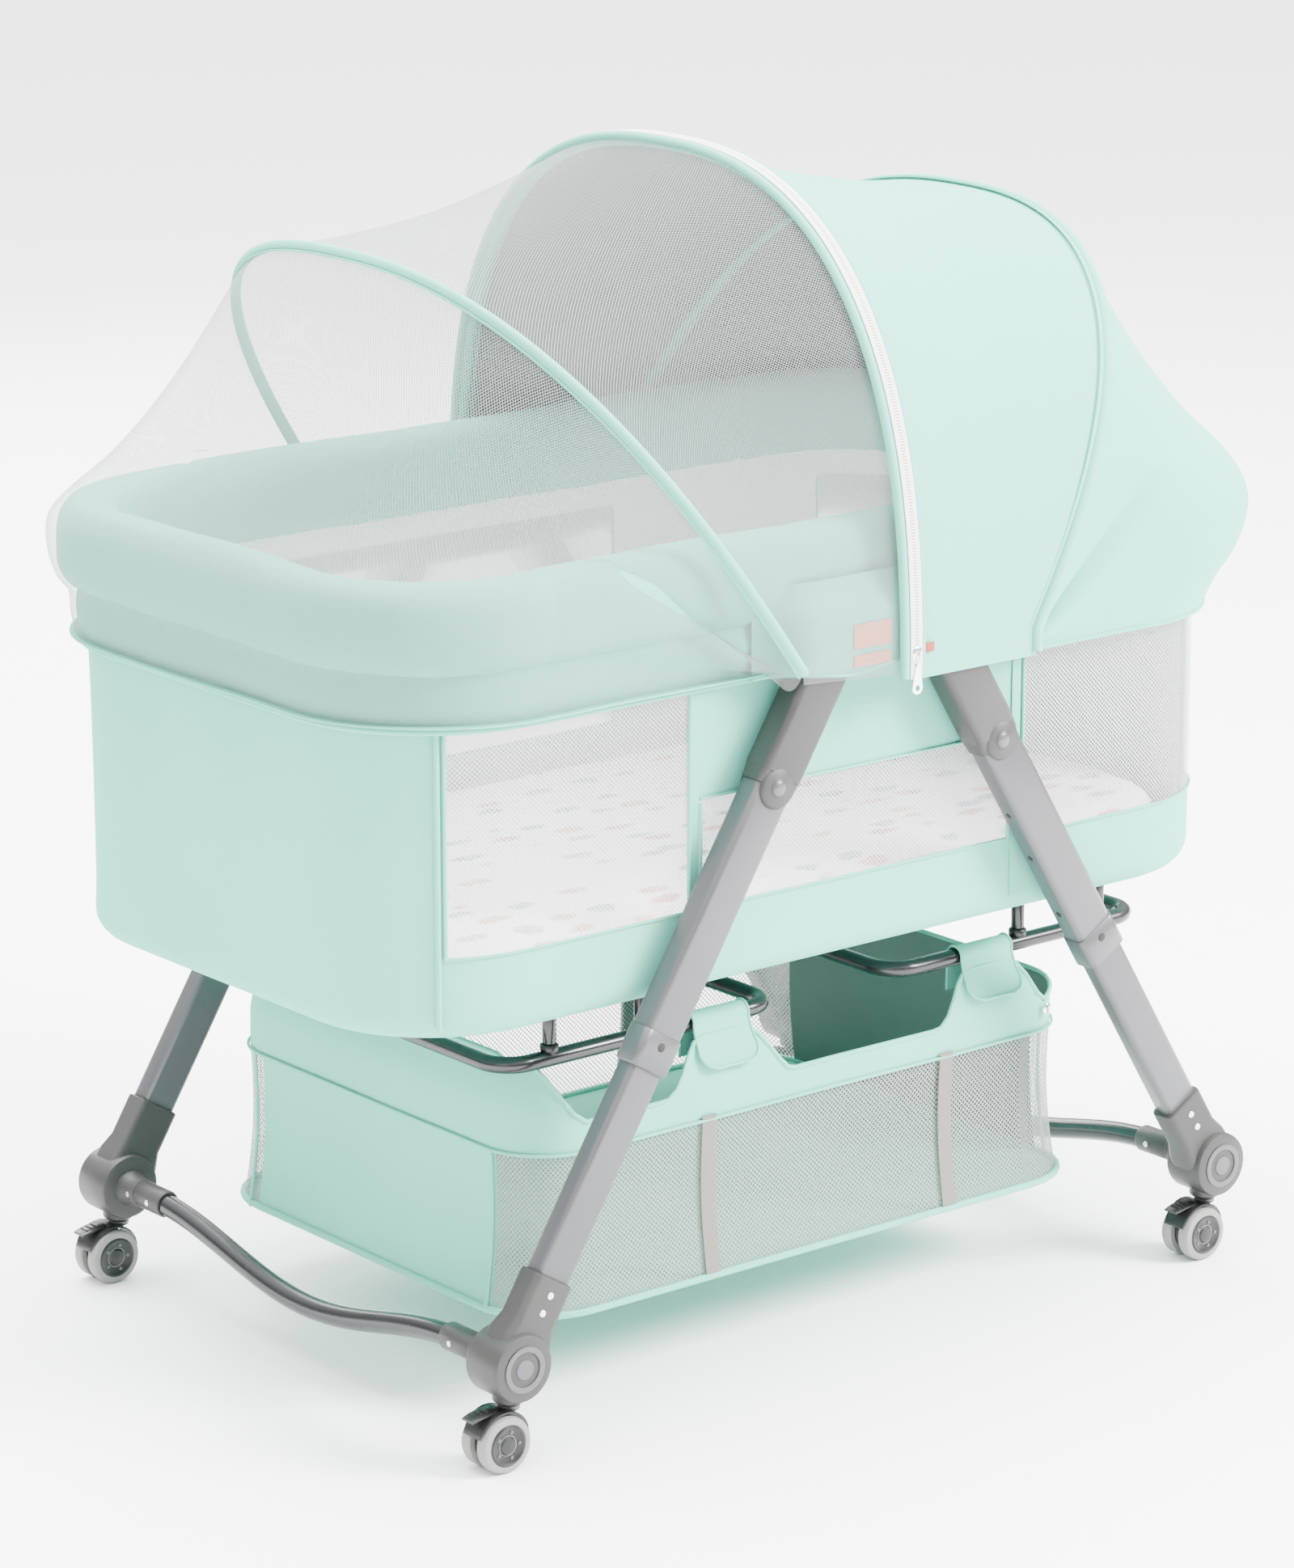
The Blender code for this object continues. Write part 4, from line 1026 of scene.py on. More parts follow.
def build_rim(settings):
    crib = settings.crib
    total = crib_round(crib)
    around, across = 440, 36
    middle, half_wide = (crib.rim_out - crib.rim_in) / 2, (crib.rim_out + crib.rim_in) / 2 - 0.0015
    center_z, half_high = (crib.roll_z - 0.006 + crib.top_z) / 2, (crib.top_z - crib.roll_z + 0.006) / 2 - 0.0015
    points, uvs, held = [], [], []
    for column in range(around):
        s = total * column / around
        for row in range(across):
            a = 2 * math.pi * row / across - math.pi / 2
            c, d = math.cos(a), math.sin(a)
            u = math.copysign(abs(c) ** (2 / 2.5), c) * half_wide
            v = math.copysign(abs(d) ** (2 / 2.5), d) * half_high
            low = ease((0.25 - v / half_high) / 1.1)
            gather = 0.0011 * low * ripple(s * 85, row * 0.12, 0) + 0.0014 * ripple(s * 9, row * 0.25, 4.0)
            (x, y), _ = crib_at(crib, s, middle + u * (1 + gather / half_wide))
            points.append((x, y, center_z + v * (1 + gather / half_high)))
            uvs.append((s, row * 0.006))
            if v < -half_high * 0.93:
                held.append(column * across + row)
    roll = Shape().add(points, strips(around, across, closed=True, looped=True), uvs=uvs).piece(
        "rim_roll", "mint_quilt", smooth=180)
    puff(roll, held, 2.5, 0.03, 0.0022, (around, across))
    seams = [side_s(crib, -0.355), side_s(crib, 0.33), total / 2 - side_s(crib, -0.33), total / 2 - side_s(crib, 0.30)]
    stations = [(column * total / around, column) for column in range(around)]
    coords = np.empty(len(roll.data.vertices) * 3, np.float32)
    roll.data.vertices.foreach_get("co", coords)
    coords = coords.reshape(-1, 3)
    for s, column in stations:
        gap = min(abs((s - seam + total / 2) % total - total / 2) for seam in seams)
        if gap < 0.012:
            (x, y), _ = crib_at(crib, s, middle)
            center = np.array((x, y, center_z))
            cut = 0.07 * math.exp(-(gap / 0.004) ** 2)
            rows = slice(column * across, (column + 1) * across)
            coords[rows] = center + (coords[rows] - center) * (1 - cut)
    roll.data.vertices.foreach_set("co", coords.ravel())
    roll.data.update()
    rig.ride(roll, "crib")
    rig.slot(roll, "mint_fabric")
    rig.replaces(roll, "rim_pad", "rim_tube")
    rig.padded(roll, fill=0.85)

    skirt_rows = marks([crib.hem_z, crib.roll_z + 0.006], 0.007)
    points, uvs = [], []
    for z in skirt_rows:
        share = (z - crib.hem_z) / (crib.roll_z - crib.hem_z)
        for column in range(around):
            s = total * column / around
            belly = 0.0045 + 0.0045 * math.sin(math.pi * min(1, share)) + 0.0012 * ripple(s * 7, z * 20, 1.0)
            belly += 0.0007 * ease(share) * ripple(s * 90, 0, 2.0)
            (x, y), _ = crib_at(crib, s, belly)
            points.append((x, y, z))
            uvs.append((s, z))
    skirt = Shape().add(points, strips(len(skirt_rows), around, closed=True), uvs=uvs).piece("rim_skirt", "mint", "crib", "mint_fabric")
    trim = Shape()
    for z, offset, radius in ((crib.hem_z, 0.0055, 0.0028), (crib.roll_z + 0.001, 0.0075, 0.0018)):
        path = [crib_point(crib, total * i / 220, offset, z) for i in range(220)]
        sweep(trim, path, circle(radius, 8), closed=True)
    trimmed = trim.piece("rim_piping", "mint_piping", "crib", "mint_fabric")
    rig.sheet(skirt, flat=(total * 1.02, crib.roll_z - crib.hem_z + 0.008), held="hung", rests_on=[roll], with_pieces=[trimmed])


# ---------------------------------------------------------------- hood and net


def bow_at(hood, kind, t):
    """Point of a bow: t runs from 0 at the near foot to pi at the far one."""
    foot_x, lean, height = (getattr(hood, f"{kind}_{part}") for part in ("x", "lean", "height"))
    power = 2 / hood.squareness
    across = -math.copysign(abs(math.cos(t)) ** power, math.cos(t)) * hood.half_width
    up = height * max(0.0, math.sin(t)) ** power
    return Vector((foot_x + up * math.sin(lean), across, hood.foot_z + up * math.cos(lean)))


def bow_turns(count):
    return [math.pi * (0.5 - 0.5 * math.cos(math.pi * step / count)) for step in range(count + 1)]


def bow_line(hood, kind, count=96, below=0.0):
    points = [bow_at(hood, kind, t) for t in bow_turns(count)]
    if below:
        for end, near in ((0, 1), (-1, -2)):
            extra = points[end].copy()
            extra.z -= below
            points.insert(0 if end == 0 else len(points), extra)
    return even(points, count)


def even(points, count):
    lengths = [0.0]
    for a, b in zip(points, points[1:]):
        lengths.append(lengths[-1] + (b - a).length)
    array = np.array([tuple(p) for p in points])
    places = np.linspace(0, lengths[-1], count + 1)
    return [Vector(p) for p in np.stack([np.interp(places, lengths, array[:, i]) for i in range(3)], axis=1)]


def bow_outward(path):
    center = Vector((0, 0, 0.72))
    return [Vector((p.x * 0.2, p.y, p.z - center.z)).normalized() for p in path]


def cloth_rows(first, last, rows, sag, seed, tuck=0.0):
    """Rows between two lines of points, pulled in between them as cloth stretched from bow to bow is."""
    found = []
    for step in range(rows + 1):
        share = step / rows
        row = []
        for index, (a, b) in enumerate(zip(first, last)):
            point = a.lerp(b, share)
            inward = Vector((0, -point.y, 0.62 - point.z)).normalized()
            depth = sag * 4 * share * (1 - share) * ease((point.z - 0.69) / 0.13)
            depth += 0.0018 * math.sin(math.pi * share) * ripple(point.x * 8, point.y * 5, point.z * 5, seed)
            row.append(point + inward * depth)
        found.append(row)
    return found


def sheet_piece(name, rows, material, body=None, slot=None, stands_for=(), flip=False):
    points, uvs, run = [], [], 0.0
    widths = [0.0]
    middle = rows[len(rows) // 2]
    for a, b in zip(middle, middle[1:]):
        widths.append(widths[-1] + (b - a).length)
    for index, row in enumerate(rows):
        if index:
            run += sum((a - b).length for a, b in zip(row, rows[index - 1])) / len(row)
        points += row
        uvs += [(width, run) for width in widths]
    faces = strips(len(rows), len(rows[0]))
    if flip:
        faces = [face[::-1] for face in faces]
    return Shape().add(points, faces, uvs=uvs).piece(name, material, body, slot, stands_for, smooth=60)


def run_of(points):
    return sum((b - a).length for a, b in zip(points, points[1:]))


def tapered_cut(hood, kind, length, crown, foot):
    """Flat size and area of a panel that narrows from its crown to its feet as its bow falls."""
    rises = [p.z - hood.foot_z for p in bow_line(hood, kind, 96)]
    share = sum(rises) / len(rises) / max(rises)
    return {"flat": (length, crown), "area": length * (foot + (crown - foot) * share)}


def panel_cut(hood, first, last, below):
    """A panel between two bows: as long as the longer one, and as wide as the gap between them."""
    length = max(run_of(bow_line(hood, kind, 96, below)) for kind in (first, last))
    crown = (bow_at(hood, first, math.pi / 2) - bow_at(hood, last, math.pi / 2)).length
    return tapered_cut(hood, first, length, crown, (bow_at(hood, first, 0) - bow_at(hood, last, 0)).length)


def apron_cut(hood, crib, kind, end_sign, drape):
    """A panel from a bow over the rim: as long as its bow, and as wide as from its crown down the drape."""
    wall = crib.center_x + end_sign * crib.half_length
    line = [Vector((wall + end_sign * end, 0, z)) for _, end, z in drape]
    crown = run_of([bow_at(hood, kind, math.pi / 2), *line])
    return tapered_cut(hood, kind, run_of(bow_line(hood, kind, 96)), crown, hood.foot_z - drape[-1][2])


def end_line(crib, end_sign, start_x, count, offset):
    """Points and outward directions round one end of the crib, from the near side to the far one."""
    total = crib_round(crib)
    start = side_s(crib, start_x)
    if end_sign > 0:
        span = (start, total / 2 - start)
    else:
        span = (start, start - (total / 2 + 2 * start))
        span = (start, -(total / 2) - start)
    found = []
    for index in range(count + 1):
        s = span[0] + (span[1] - span[0]) * index / count
        found.append(crib_at(crib, s, offset))
    return found


def apron_rows(settings, kind, end_sign, start_x, drape, count=96, sag=0.02, spread=None):
    """Rows from a bow over the padded rim and down outside it. Drape gives (offset from the wall, height) points."""
    hood, crib = settings.hood, settings.crib
    tops = bow_line(hood, kind, count)
    ends = end_line(crib, end_sign, start_x, count, 0.0)
    columns = []
    for top, (base, normal) in zip(tops, ends):
        reach = abs(normal.x) if end_sign * normal.x > 0 else 0.0
        low = [Vector((base.x + normal.x * (side + (end - side) * reach), base.y + normal.y * (side + (end - side) * reach), z))
               for side, end, z in drape]
        crest = low[0]
        if top.z < crest.z + 0.03:
            hang = max(0.0, min(1.0, (top.z - low[-1].z) / (crest.z + 0.03 - low[-1].z)))
            low = [Vector((p.x, p.y, low[-1].z + (p.z - low[-1].z) * hang)) for p in low]
            crest = low[0]
        line = [top]
        for share in (0.25, 0.5, 0.75):
            point = top.lerp(crest, share)
            point.z -= sag * 4 * share * (1 - share)
            point.y *= 1 + 0.0 * share
            line.append(point)
        columns.append(line + low)
    rows = []
    parts = [5, 5, 5, 5] + [3] * (len(columns[0]) - 5)
    lines = []
    for column in columns:
        line = []
        for index, part in enumerate(parts):
            a, b = column[index], column[index + 1]
            before = column[index - 1] if index else a
            after = column[index + 2] if index + 2 < len(column) else b
            for step in range(part):
                t = step / part
                line.append(0.5 * (2 * a + (b - before) * t + (2 * before - 5 * a + 4 * b - after) * t * t
                                   + (3 * a - before - 3 * b + after) * t * t * t))
        lines.append(line + [column[-1]])
    for index in range(len(lines[0])):
        rows.append([line[index] for line in lines])
    return rows


def build_bows(settings):
    hood = settings.hood
    for kind, body, node, radius, below in (
        ("net", "net", "net_bow", 0.0046, 0.0), ("rear", "crib", "rear_bow", 0.0050, 0.02), ("main", "hood", "main_bow", 0.0058, 0.02),
    ):
        path = bow_line(hood, kind, 120, below)
        shape = Shape()
        sweep(shape, path, circle(radius, 12), bow_outward(path))
        shape.piece(f"{kind}_bow_sleeve", "mint_piping", body, "mint_fabric", [node])
        stitch = Shape()
        out = bow_outward(path)
        lean = getattr(hood, f"{kind}_lean")
        side = Vector((math.cos(lean), 0, -math.sin(lean)))
        if kind != "main":
            for sign, wide in ((-1, 0.005), (1, 0.005)) if kind == "rear" else ((-1, 0.003),):
                line = [p + side * sign * (0.004 + wide / 2) + o * -0.0005 for p, o in zip(path, out)]
                sweep(stitch, line, flat(wide, 0.0012), out)
            stitch.piece(f"{kind}_bow_tape", "mint_piping", body, "mint_fabric")
            continue
        tape, cords = Shape(), Shape()
        sweep(tape, [p + o * 0.0066 + side * 0.004 for p, o in zip(path, out)], flat(0.013, 0.0012), out)
        for shift, size in ((-0.0065, 0.0042), (0.0125, 0.0034)):
            sweep(cords, [p + side * shift + o * 0.0035 for p, o in zip(path, out)], circle(size, 10), out)
        tape.piece("zipper_tape", "zipper", "hood", "zip_metal")
        cords.piece("main_bow_piping", "mint_piping", "hood", "mint_fabric")
    build_zip(settings)


def build_zip(settings):
    """Slider and teardrop pull at the near foot of the main bow."""
    low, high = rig.box("zip_pull")
    x, y = (low.x + high.x) / 2 + 0.004, low.y - 0.0035
    shape = Shape()
    outline, hole = [], []
    for step in range(24):
        a = 2 * math.pi * step / 24
        wide = 0.0058 if math.sin(a) < 0 else 0.0058 - 0.0026 * math.sin(a)
        outline.append((wide * math.cos(a), 0.0058 * math.sin(a) if math.sin(a) < 0 else 0.021 * math.sin(a)))
        hole.append((0.0026 * math.cos(a), 0.0026 * math.sin(a)))
    points, faces = [], []
    for level in (-0.0009, 0.0009):
        points += [(u, level, v) for u, v in outline] + [(u, level, v) for u, v in hole]
    for i in range(24):
        j = (i + 1) % 24
        faces += [(i, j, 24 + j, 24 + i), (48 + j, 48 + i, 72 + i, 72 + j), (j, i, 48 + i, 48 + j), (24 + i, 24 + j, 72 + j, 72 + i)]
    shape.add(points, faces, Matrix.Translation((x, y, low.z + 0.004)))
    slider = [(0, 0.0035, 0.0022, 0.002), (0.002, 0.0052, 0.003, 0.002), (0.010, 0.0052, 0.003, 0.002), (0.013, 0.003, 0.002, 0.001)]
    bar(shape, slider, Matrix.Translation((x, y + 0.002, low.z + 0.040)))
    sweep(shape, [(x, y - 0.0015, low.z + 0.036), (x, y - 0.0035, low.z + 0.030), (x, y - 0.0015, low.z + 0.025)], circle(0.001, 8))
    shape.piece("zip_slider", "bright", "hood", "zip_metal", ["zip_pull"])


def build_hood(settings):
    hood, crib = settings.hood, settings.crib
    below = hood.foot_z - hood.skirt_z
    main_side = Vector((0.012, 0, 0.0))
    first = [p + main_side for p in bow_line(hood, "main", 96, below)]
    last = bow_line(hood, "rear", 96, below)
    rows = cloth_rows(first, last, 22, 0.013, 5.0)
    canopy = sheet_piece("hood_canopy_cloth", rows, "mint_hood", None, "mint_fabric", ["hood_canopy"], flip=True)
    middle = bow_at(hood, "main", math.pi / 2), bow_at(hood, "rear", math.pi / 2)
    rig.blend(canopy, "crib", "hood", start=tuple(middle[1]), end=tuple(middle[0]))
    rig.sheet(canopy, held="stretched", rests_on=["main_bow", "rear_bow"], **panel_cut(hood, "main", "rear", below))

    drape = [(0.023, 0.022, 0.752), (0.033, 0.046, 0.724), (0.036, 0.053, 0.698), (0.033, 0.041, 0.664), (0.025, 0.019, 0.637), (0.020, 0.004, 0.613)]
    rows = apron_rows(settings, "rear", 1, hood.rear_x + 0.012, drape, sag=0.012)
    wavy(rows, 11.0, 0.0016)
    tail = sheet_piece("hood_tail_cloth", rows, "mint_hood", "crib", "mint_fabric", ["hood_tail"], flip=True)
    hem = Shape()
    sweep(hem, rows[-1], circle(0.0022, 8))
    hem_piece = hem.piece("hood_tail_hem", "mint_piping", "crib", "mint_fabric")
    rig.sheet(tail, held="stretched", rests_on=["rear_bow", "rim_roll"], with_pieces=[hem_piece],
             **apron_cut(hood, crib, "rear", 1, drape))


def wavy(rows, seed, depth):
    """Small soft creases over the cloth, except on its first row."""
    for index, row in enumerate(rows[1:]):
        fade = min(1.0, index / 4)
        for p in row:
            move = depth * fade * ripple(p.x * 9, p.y * 9, p.z * 9, seed)
            p += Vector((0.3 * move, math.copysign(move, p.y), move))


def build_net(settings):
    hood, crib = settings.hood, settings.crib
    first = bow_line(hood, "net", 96, 0.010)
    last = [p + Vector((-0.009, 0, 0)) for p in bow_line(hood, "main", 96, 0.018)]
    rows = cloth_rows(first, last, 26, 0.016, 8.0)
    middle_net = sheet_piece("net_middle_cloth", rows, "net", None, "net", ["net_middle"])
    ends = bow_at(hood, "main", math.pi / 2), bow_at(hood, "net", math.pi / 2)
    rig.blend(middle_net, "hood", "net", start=tuple(ends[0]), end=tuple(ends[1]))
    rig.sheet(middle_net, held="stretched", rests_on=["main_bow", "net_bow"], **panel_cut(hood, "net", "main", 0.018))

    drape = [(0.016, 0.010, 0.7605), (0.031, 0.031, 0.740), (0.0325, 0.0325, 0.714), (0.026, 0.026, 0.690), (0.0155, 0.0155, 0.676), (0.0140, 0.0140, 0.655),
             (0.0105, 0.0105, 0.637)]
    rows = apron_rows(settings, "net", -1, hood.net_x - 0.012, drape, sag=0.016)
    wavy(rows, 21.0, 0.0012)
    front = sheet_piece("net_front_cloth", rows, "net", "net", "net", ["net_front"], flip=True)
    hem = Shape()
    sweep(hem, rows[-1], flat(0.010, 0.0014), None)
    band = hem.piece("net_hem", "mint_piping", None, "mint_fabric")
    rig.ride(band, "net")
    across_bow = (math.cos(hood.net_lean), 0.0, -math.sin(hood.net_lean))
    for piece in (front, band):
        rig.squash(piece, "net_fold", across_bow, (hood.net_x, 0.0, hood.foot_z), 0.08)
    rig.sheet(front, held="stretched", rests_on=["net_bow", "rim_roll"], with_pieces=[band],
             **apron_cut(hood, crib, "net", -1, drape))


def build_flap(settings):
    """Loose strip of the rim's hem that hangs outside the tops of the arms."""
    crib, hood, stand = settings.crib, settings.hood, settings.stand
    first, last = stand.leg_x - stand.pivot_x - 0.078, stand.leg_x + stand.pivot_x + 0.095
    clear = stand.leg_y + stand.arm_depth / 2 + 0.0022
    for side, sign in SIDES.items():
        rows = []
        for x in marks([first, last], 0.008):
            share = (x - first) / (last - first)
            out = ease(share / 0.17) * ease((1 - share) / 0.17)
            wall = crib.half_width + 0.0115
            row = []
            for step in range(13):
                v = step / 12
                z = crib.hem_z + 0.001 + (crib.roll_z + 0.030 - crib.hem_z) * v + 0.003 * math.sin(share * 15) * (1 - v)
                lean = 1 - 0.45 * ease((z - crib.roll_z + 0.001) / 0.030)
                y = wall + (clear - wall) * out * lean + 0.0006 * abs(ripple(x * 22, z * 30, sign))
                row.append(Vector((x, sign * y, z)))
            rows.append(row)
        flap = sheet_piece(f"rim_flap_{side}", rows, "mint", "crib", "mint_fabric", flip=sign > 0)
        edge = Shape()
        sweep(edge, [row[0] for row in rows], circle(0.0019, 8))
        hem = edge.piece(f"rim_flap_hem_{side}", "mint_piping", "crib", "mint_fabric")
        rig.sheet(flap, flat=(last - first, crib.roll_z + 0.036 - crib.hem_z), held="hung", rests_on=["rim_skirt"], with_pieces=[hem])


def build_tabs(settings):
    """Blank sewn tabs beside the main bow's near foot."""
    hood, crib = settings.hood, settings.crib
    for name, material, x, z, wide, high, body in (
        ("sewn_tab_upper", "tab", -0.0305, 0.662, 0.042, 0.021, "crib"),
        ("sewn_tab_lower", "tab", -0.0305, 0.6405, 0.042, 0.010, "crib"),
        ("sewn_tab_red", "tab_red", 0.030, 0.642, 0.012, 0.008, "crib"),
    ):
        shape = Shape()
        y = -hood.half_width + 0.0022 - (0.004 if name == "sewn_tab_red" else 0.0)
        path = [(x - wide / 2, y, z), (x, y - 0.0006, z), (x + wide / 2, y, z)]
        sweep(shape, path, [(u, v) for u, v in flat(high, 0.0009)], [Vector((0, -1, 0))] * 3)
        shape.piece(name, material, body, "mint_fabric")


# ---------------------------------------------------------------- stand


def leg_space(stand, end_sign, sign):
    lean = math.atan2(stand.foot_x - stand.pivot_x, stand.pivot_z - stand.foot_z)
    fold = Matrix.Translation((stand.leg_x + end_sign * stand.pivot_x, 0, stand.pivot_z)) @ Matrix.Rotation(-end_sign * lean, 4, "Y")
    return fold @ Matrix.Translation((0, sign * stand.leg_y, 0)), lean


def outward_disc(radius, low, high, sign, place, shape, slot=0, ease_by=0.0006, segments=28):
    """A short cylinder whose axis points out of the leg's outer face."""
    face = place @ Matrix.Rotation(-sign * math.pi / 2, 4, "X")
    disc(shape, radius, low, high, face, ease_by, segments, slot)


def build_leg(stand, end, end_sign, side, sign):
    name = f"{end}_{side}"
    leg, lean = leg_space(stand, end_sign, sign)
    half = stand.arm_depth / 2

    def down(level, across=0.0):
        return leg @ Matrix.Translation((across, 0, -level))

    arm = Shape()
    soft_bar(arm, stand.arm_width, stand.arm_depth, 0.0, stand.arm_end - 0.030, 0.0065, leg)
    w, d = stand.tube_width / 2 + 0.0018, half - 0.0002
    step = stand.arm_end - 0.030
    bar(arm, [(step - 0.004, stand.arm_width / 2, d, 0.006), (step + 0.004, w, d - 0.0015, 0.006), (step + 0.012, w, d - 0.0022, 0.006)], leg)
    outward_disc(0.0185, -half - 0.0004, half + 0.0004, 1, down(stand.button_at), arm, ease_by=0.0022, segments=44)
    outward_disc(stand.arm_width / 2, -half + 0.0005, half - 0.0005, 1, leg, arm, ease_by=0.002, segments=48)
    outward_disc(0.0090, half - 0.002, half + 0.0010, sign, down(stand.button_at), arm, ease_by=0.0005)
    arm.piece(f"arm_{name}_moulded", "arm", f"{end}_legs", "grey_plastic", [f"arm_{name}"])

    tube = Shape()
    soft_bar(tube, stand.tube_width, stand.tube_depth, 0.10, stand.tube_end - 0.002, 0.0062, leg)
    collar_w, collar_d = stand.tube_width / 2 + 0.0012, stand.tube_depth / 2 + 0.0012
    bar(tube, [(stand.tube_end - 0.034, collar_w - 0.001, collar_d - 0.001, 0.006), (stand.tube_end - 0.033, collar_w, collar_d, 0.0065),
               (stand.tube_end - 0.002, collar_w, collar_d, 0.0065), (stand.tube_end, collar_w - 0.0018, collar_d - 0.0018, 0.006)], leg)
    face = stand.tube_depth / 2
    for level in (stand.pin_at,):
        outward_disc(0.0040, face + 0.0005, face + 0.0016, sign, down(level), tube, 1, 0.0003)
    for level in (stand.pin_at - 0.043 * 2.6, stand.pin_at - 0.043 * 3.8, stand.pin_at - 0.043 * 1.0):
        place = down(level) @ Matrix.Rotation(-end_sign * math.pi / 2, 4, "Y")
        disc(tube, 0.0030, stand.tube_width / 2 - 0.001, stand.tube_width / 2 + 0.0004, place, 0.0002, 18, 1)
    tube.piece(f"tube_{name}_satin", ["tube", "hole"], f"{end}_legs", "grey_steel", [f"tube_{name}"])

    button = Shape()
    outward_disc(0.0072, half - 0.004, half + 0.0016, sign, down(stand.button_at), button, ease_by=0.0012)
    button.piece(f"leg_button_{name}_cap", "tube", f"leg_button_{name}", "grey_steel", [f"leg_button_{name}"])

    lower = Shape()
    soft_bar(lower, stand.lower_width, stand.lower_depth, 0.30, stand.sleeve_start + 0.02, 0.0055, leg)
    lower.piece(f"lower_tube_{name}_satin", "tube", f"{end}_feet", "grey_steel", [f"lower_tube_{name}"])
    build_foot(stand, end, end_sign, side, sign, leg, lean)


def build_foot(stand, end, end_sign, side, sign, leg, lean):
    name = f"{end}_{side}"
    length = math.hypot(stand.foot_x - stand.pivot_x, stand.pivot_z - stand.foot_z)
    hub = leg @ Matrix.Translation((0, 0, -length))
    half, radius = stand.foot_depth / 2, stand.foot_radius
    foot = Shape()
    sideways = hub @ Matrix.Rotation(math.pi / 2, 4, "X")
    lathe(foot, [(0.0, -half), (radius - 0.004, -half), (radius - 0.001, -half + 0.0012), (radius, -half + 0.004),
                 (radius, half - 0.004), (radius - 0.001, half - 0.0012), (radius - 0.004, half), (0.0, half)], sideways, 56)
    outer = hub @ Matrix.Rotation(-sign * math.pi / 2, 4, "X")
    lathe(foot, [(0.0, half - 0.001), (0.019, half - 0.001), (0.0205, half + 0.0010), (0.0190, half + 0.0016), (0.0155, half + 0.0010),
                 (0.0150, half - 0.0006), (0.0095, half - 0.0006), (0.0085, half + 0.0012), (0.0, half + 0.0018)], outer, 48, 1)
    w, d = stand.lower_width / 2 + 0.0032, stand.lower_depth / 2 + 0.0032
    start = stand.sleeve_start
    bar(foot, [(start, w - 0.0018, d - 0.0018, 0.005), (start + 0.0008, w - 0.0004, d - 0.0004, 0.006), (start + 0.0022, w, d, 0.0065),
               (start + 0.040, w, d, 0.0065), (start + 0.055, w + 0.004, d + 0.003, 0.008), (length, w + 0.005, d + 0.004, 0.009)], leg)
    for level, shift in ((start + 0.014, 0.0), (start + 0.030, 0.0)):
        outward_disc(0.0032, d - 0.0005, d + 0.0009, sign, leg @ Matrix.Translation((shift, 0, -level)), foot, 2, 0.0004)
    upright = hub @ Matrix.Rotation(end_sign * lean, 4, "Y")
    lathe(foot, [(0.0, -radius - 0.004), (0.0125, -radius - 0.004), (0.014, -radius - 0.0025), (0.0145, -radius + 0.006), (0.017, -radius + 0.016), (0.0, -radius + 0.02)],
          upright, 36)
    neck = hub @ Matrix.Rotation(sign * math.pi / 2, 4, "X")
    bar_r = stand.bar_radius
    lathe(foot, [(0.0, 0.0), (bar_r + 0.008, half - 0.006), (bar_r + 0.0065, half + 0.002), (bar_r + 0.003, half + 0.008), (bar_r + 0.003, half + 0.0185),
                 (bar_r + 0.0018, half + 0.0200), (0.0, half + 0.0200)], neck, 32)
    outward_disc(0.0026, bar_r + 0.0022, bar_r + 0.0038, -end_sign, upright @ Matrix.Translation((0, -sign * (half + 0.013), 0)) @ Matrix.Rotation(math.pi / 2, 4, "Z"), foot, 2, 0.0004)
    foot.piece(f"foot_{name}_moulded", ["arm", "tube", "bright"], f"{end}_feet", "grey_plastic", [f"foot_{name}"], smooth=35)


def build_rocker(stand, end, end_sign):
    leg, lean = leg_space(stand, end_sign, 0)
    length = math.hypot(stand.foot_x - stand.pivot_x, stand.pivot_z - stand.foot_z)
    upright = leg @ Matrix.Translation((0, 0, -length)) @ Matrix.Rotation(end_sign * lean, 4, "Y")
    reach = stand.leg_y - stand.foot_depth / 2 - 0.008
    straight = reach - 0.035
    path = [Vector((0, -reach, 0))]
    for step in range(41):
        share = -1 + step / 20
        path.append(Vector((0, straight * share, -stand.bar_dip * (0.5 + 0.5 * math.cos(math.pi * share)))))
    path.append(Vector((0, reach, 0)))
    shape = Shape()
    sweep(shape, path, circle(stand.bar_radius, 20), matrix=upright)
    shape.piece(f"rocker_bar_{end}_tube", "dark", f"{end}_feet", "grey_steel", [f"rocker_bar_{end}"])
    ends = Shape()
    for sign in SIDES.values():
        place = upright @ Matrix.Translation((0, sign * (reach - 0.03), 0)) @ Matrix.Rotation(-sign * math.pi / 2, 4, "X")
        lathe(ends, [(0.0, -0.022), (stand.bar_radius + 0.0015, -0.022), (stand.bar_radius + 0.0025, -0.020), (stand.bar_radius + 0.0025, 0.016),
                     (stand.bar_radius + 0.0015, 0.018), (0.0, 0.018)], place, 32)
        pin = upright @ Matrix.Translation((0, sign * (reach - 0.036), 0))
        for turned in (-1,):
            disc(ends, 0.0028, stand.bar_radius + 0.0018, stand.bar_radius + 0.0036, pin @ Matrix.Rotation(turned * math.pi / 2, 4, "Y"), 0.0005, 18, 1)
    ends.piece(f"rocker_ends_{end}", ["arm", "bright"], f"{end}_feet", "grey_plastic")


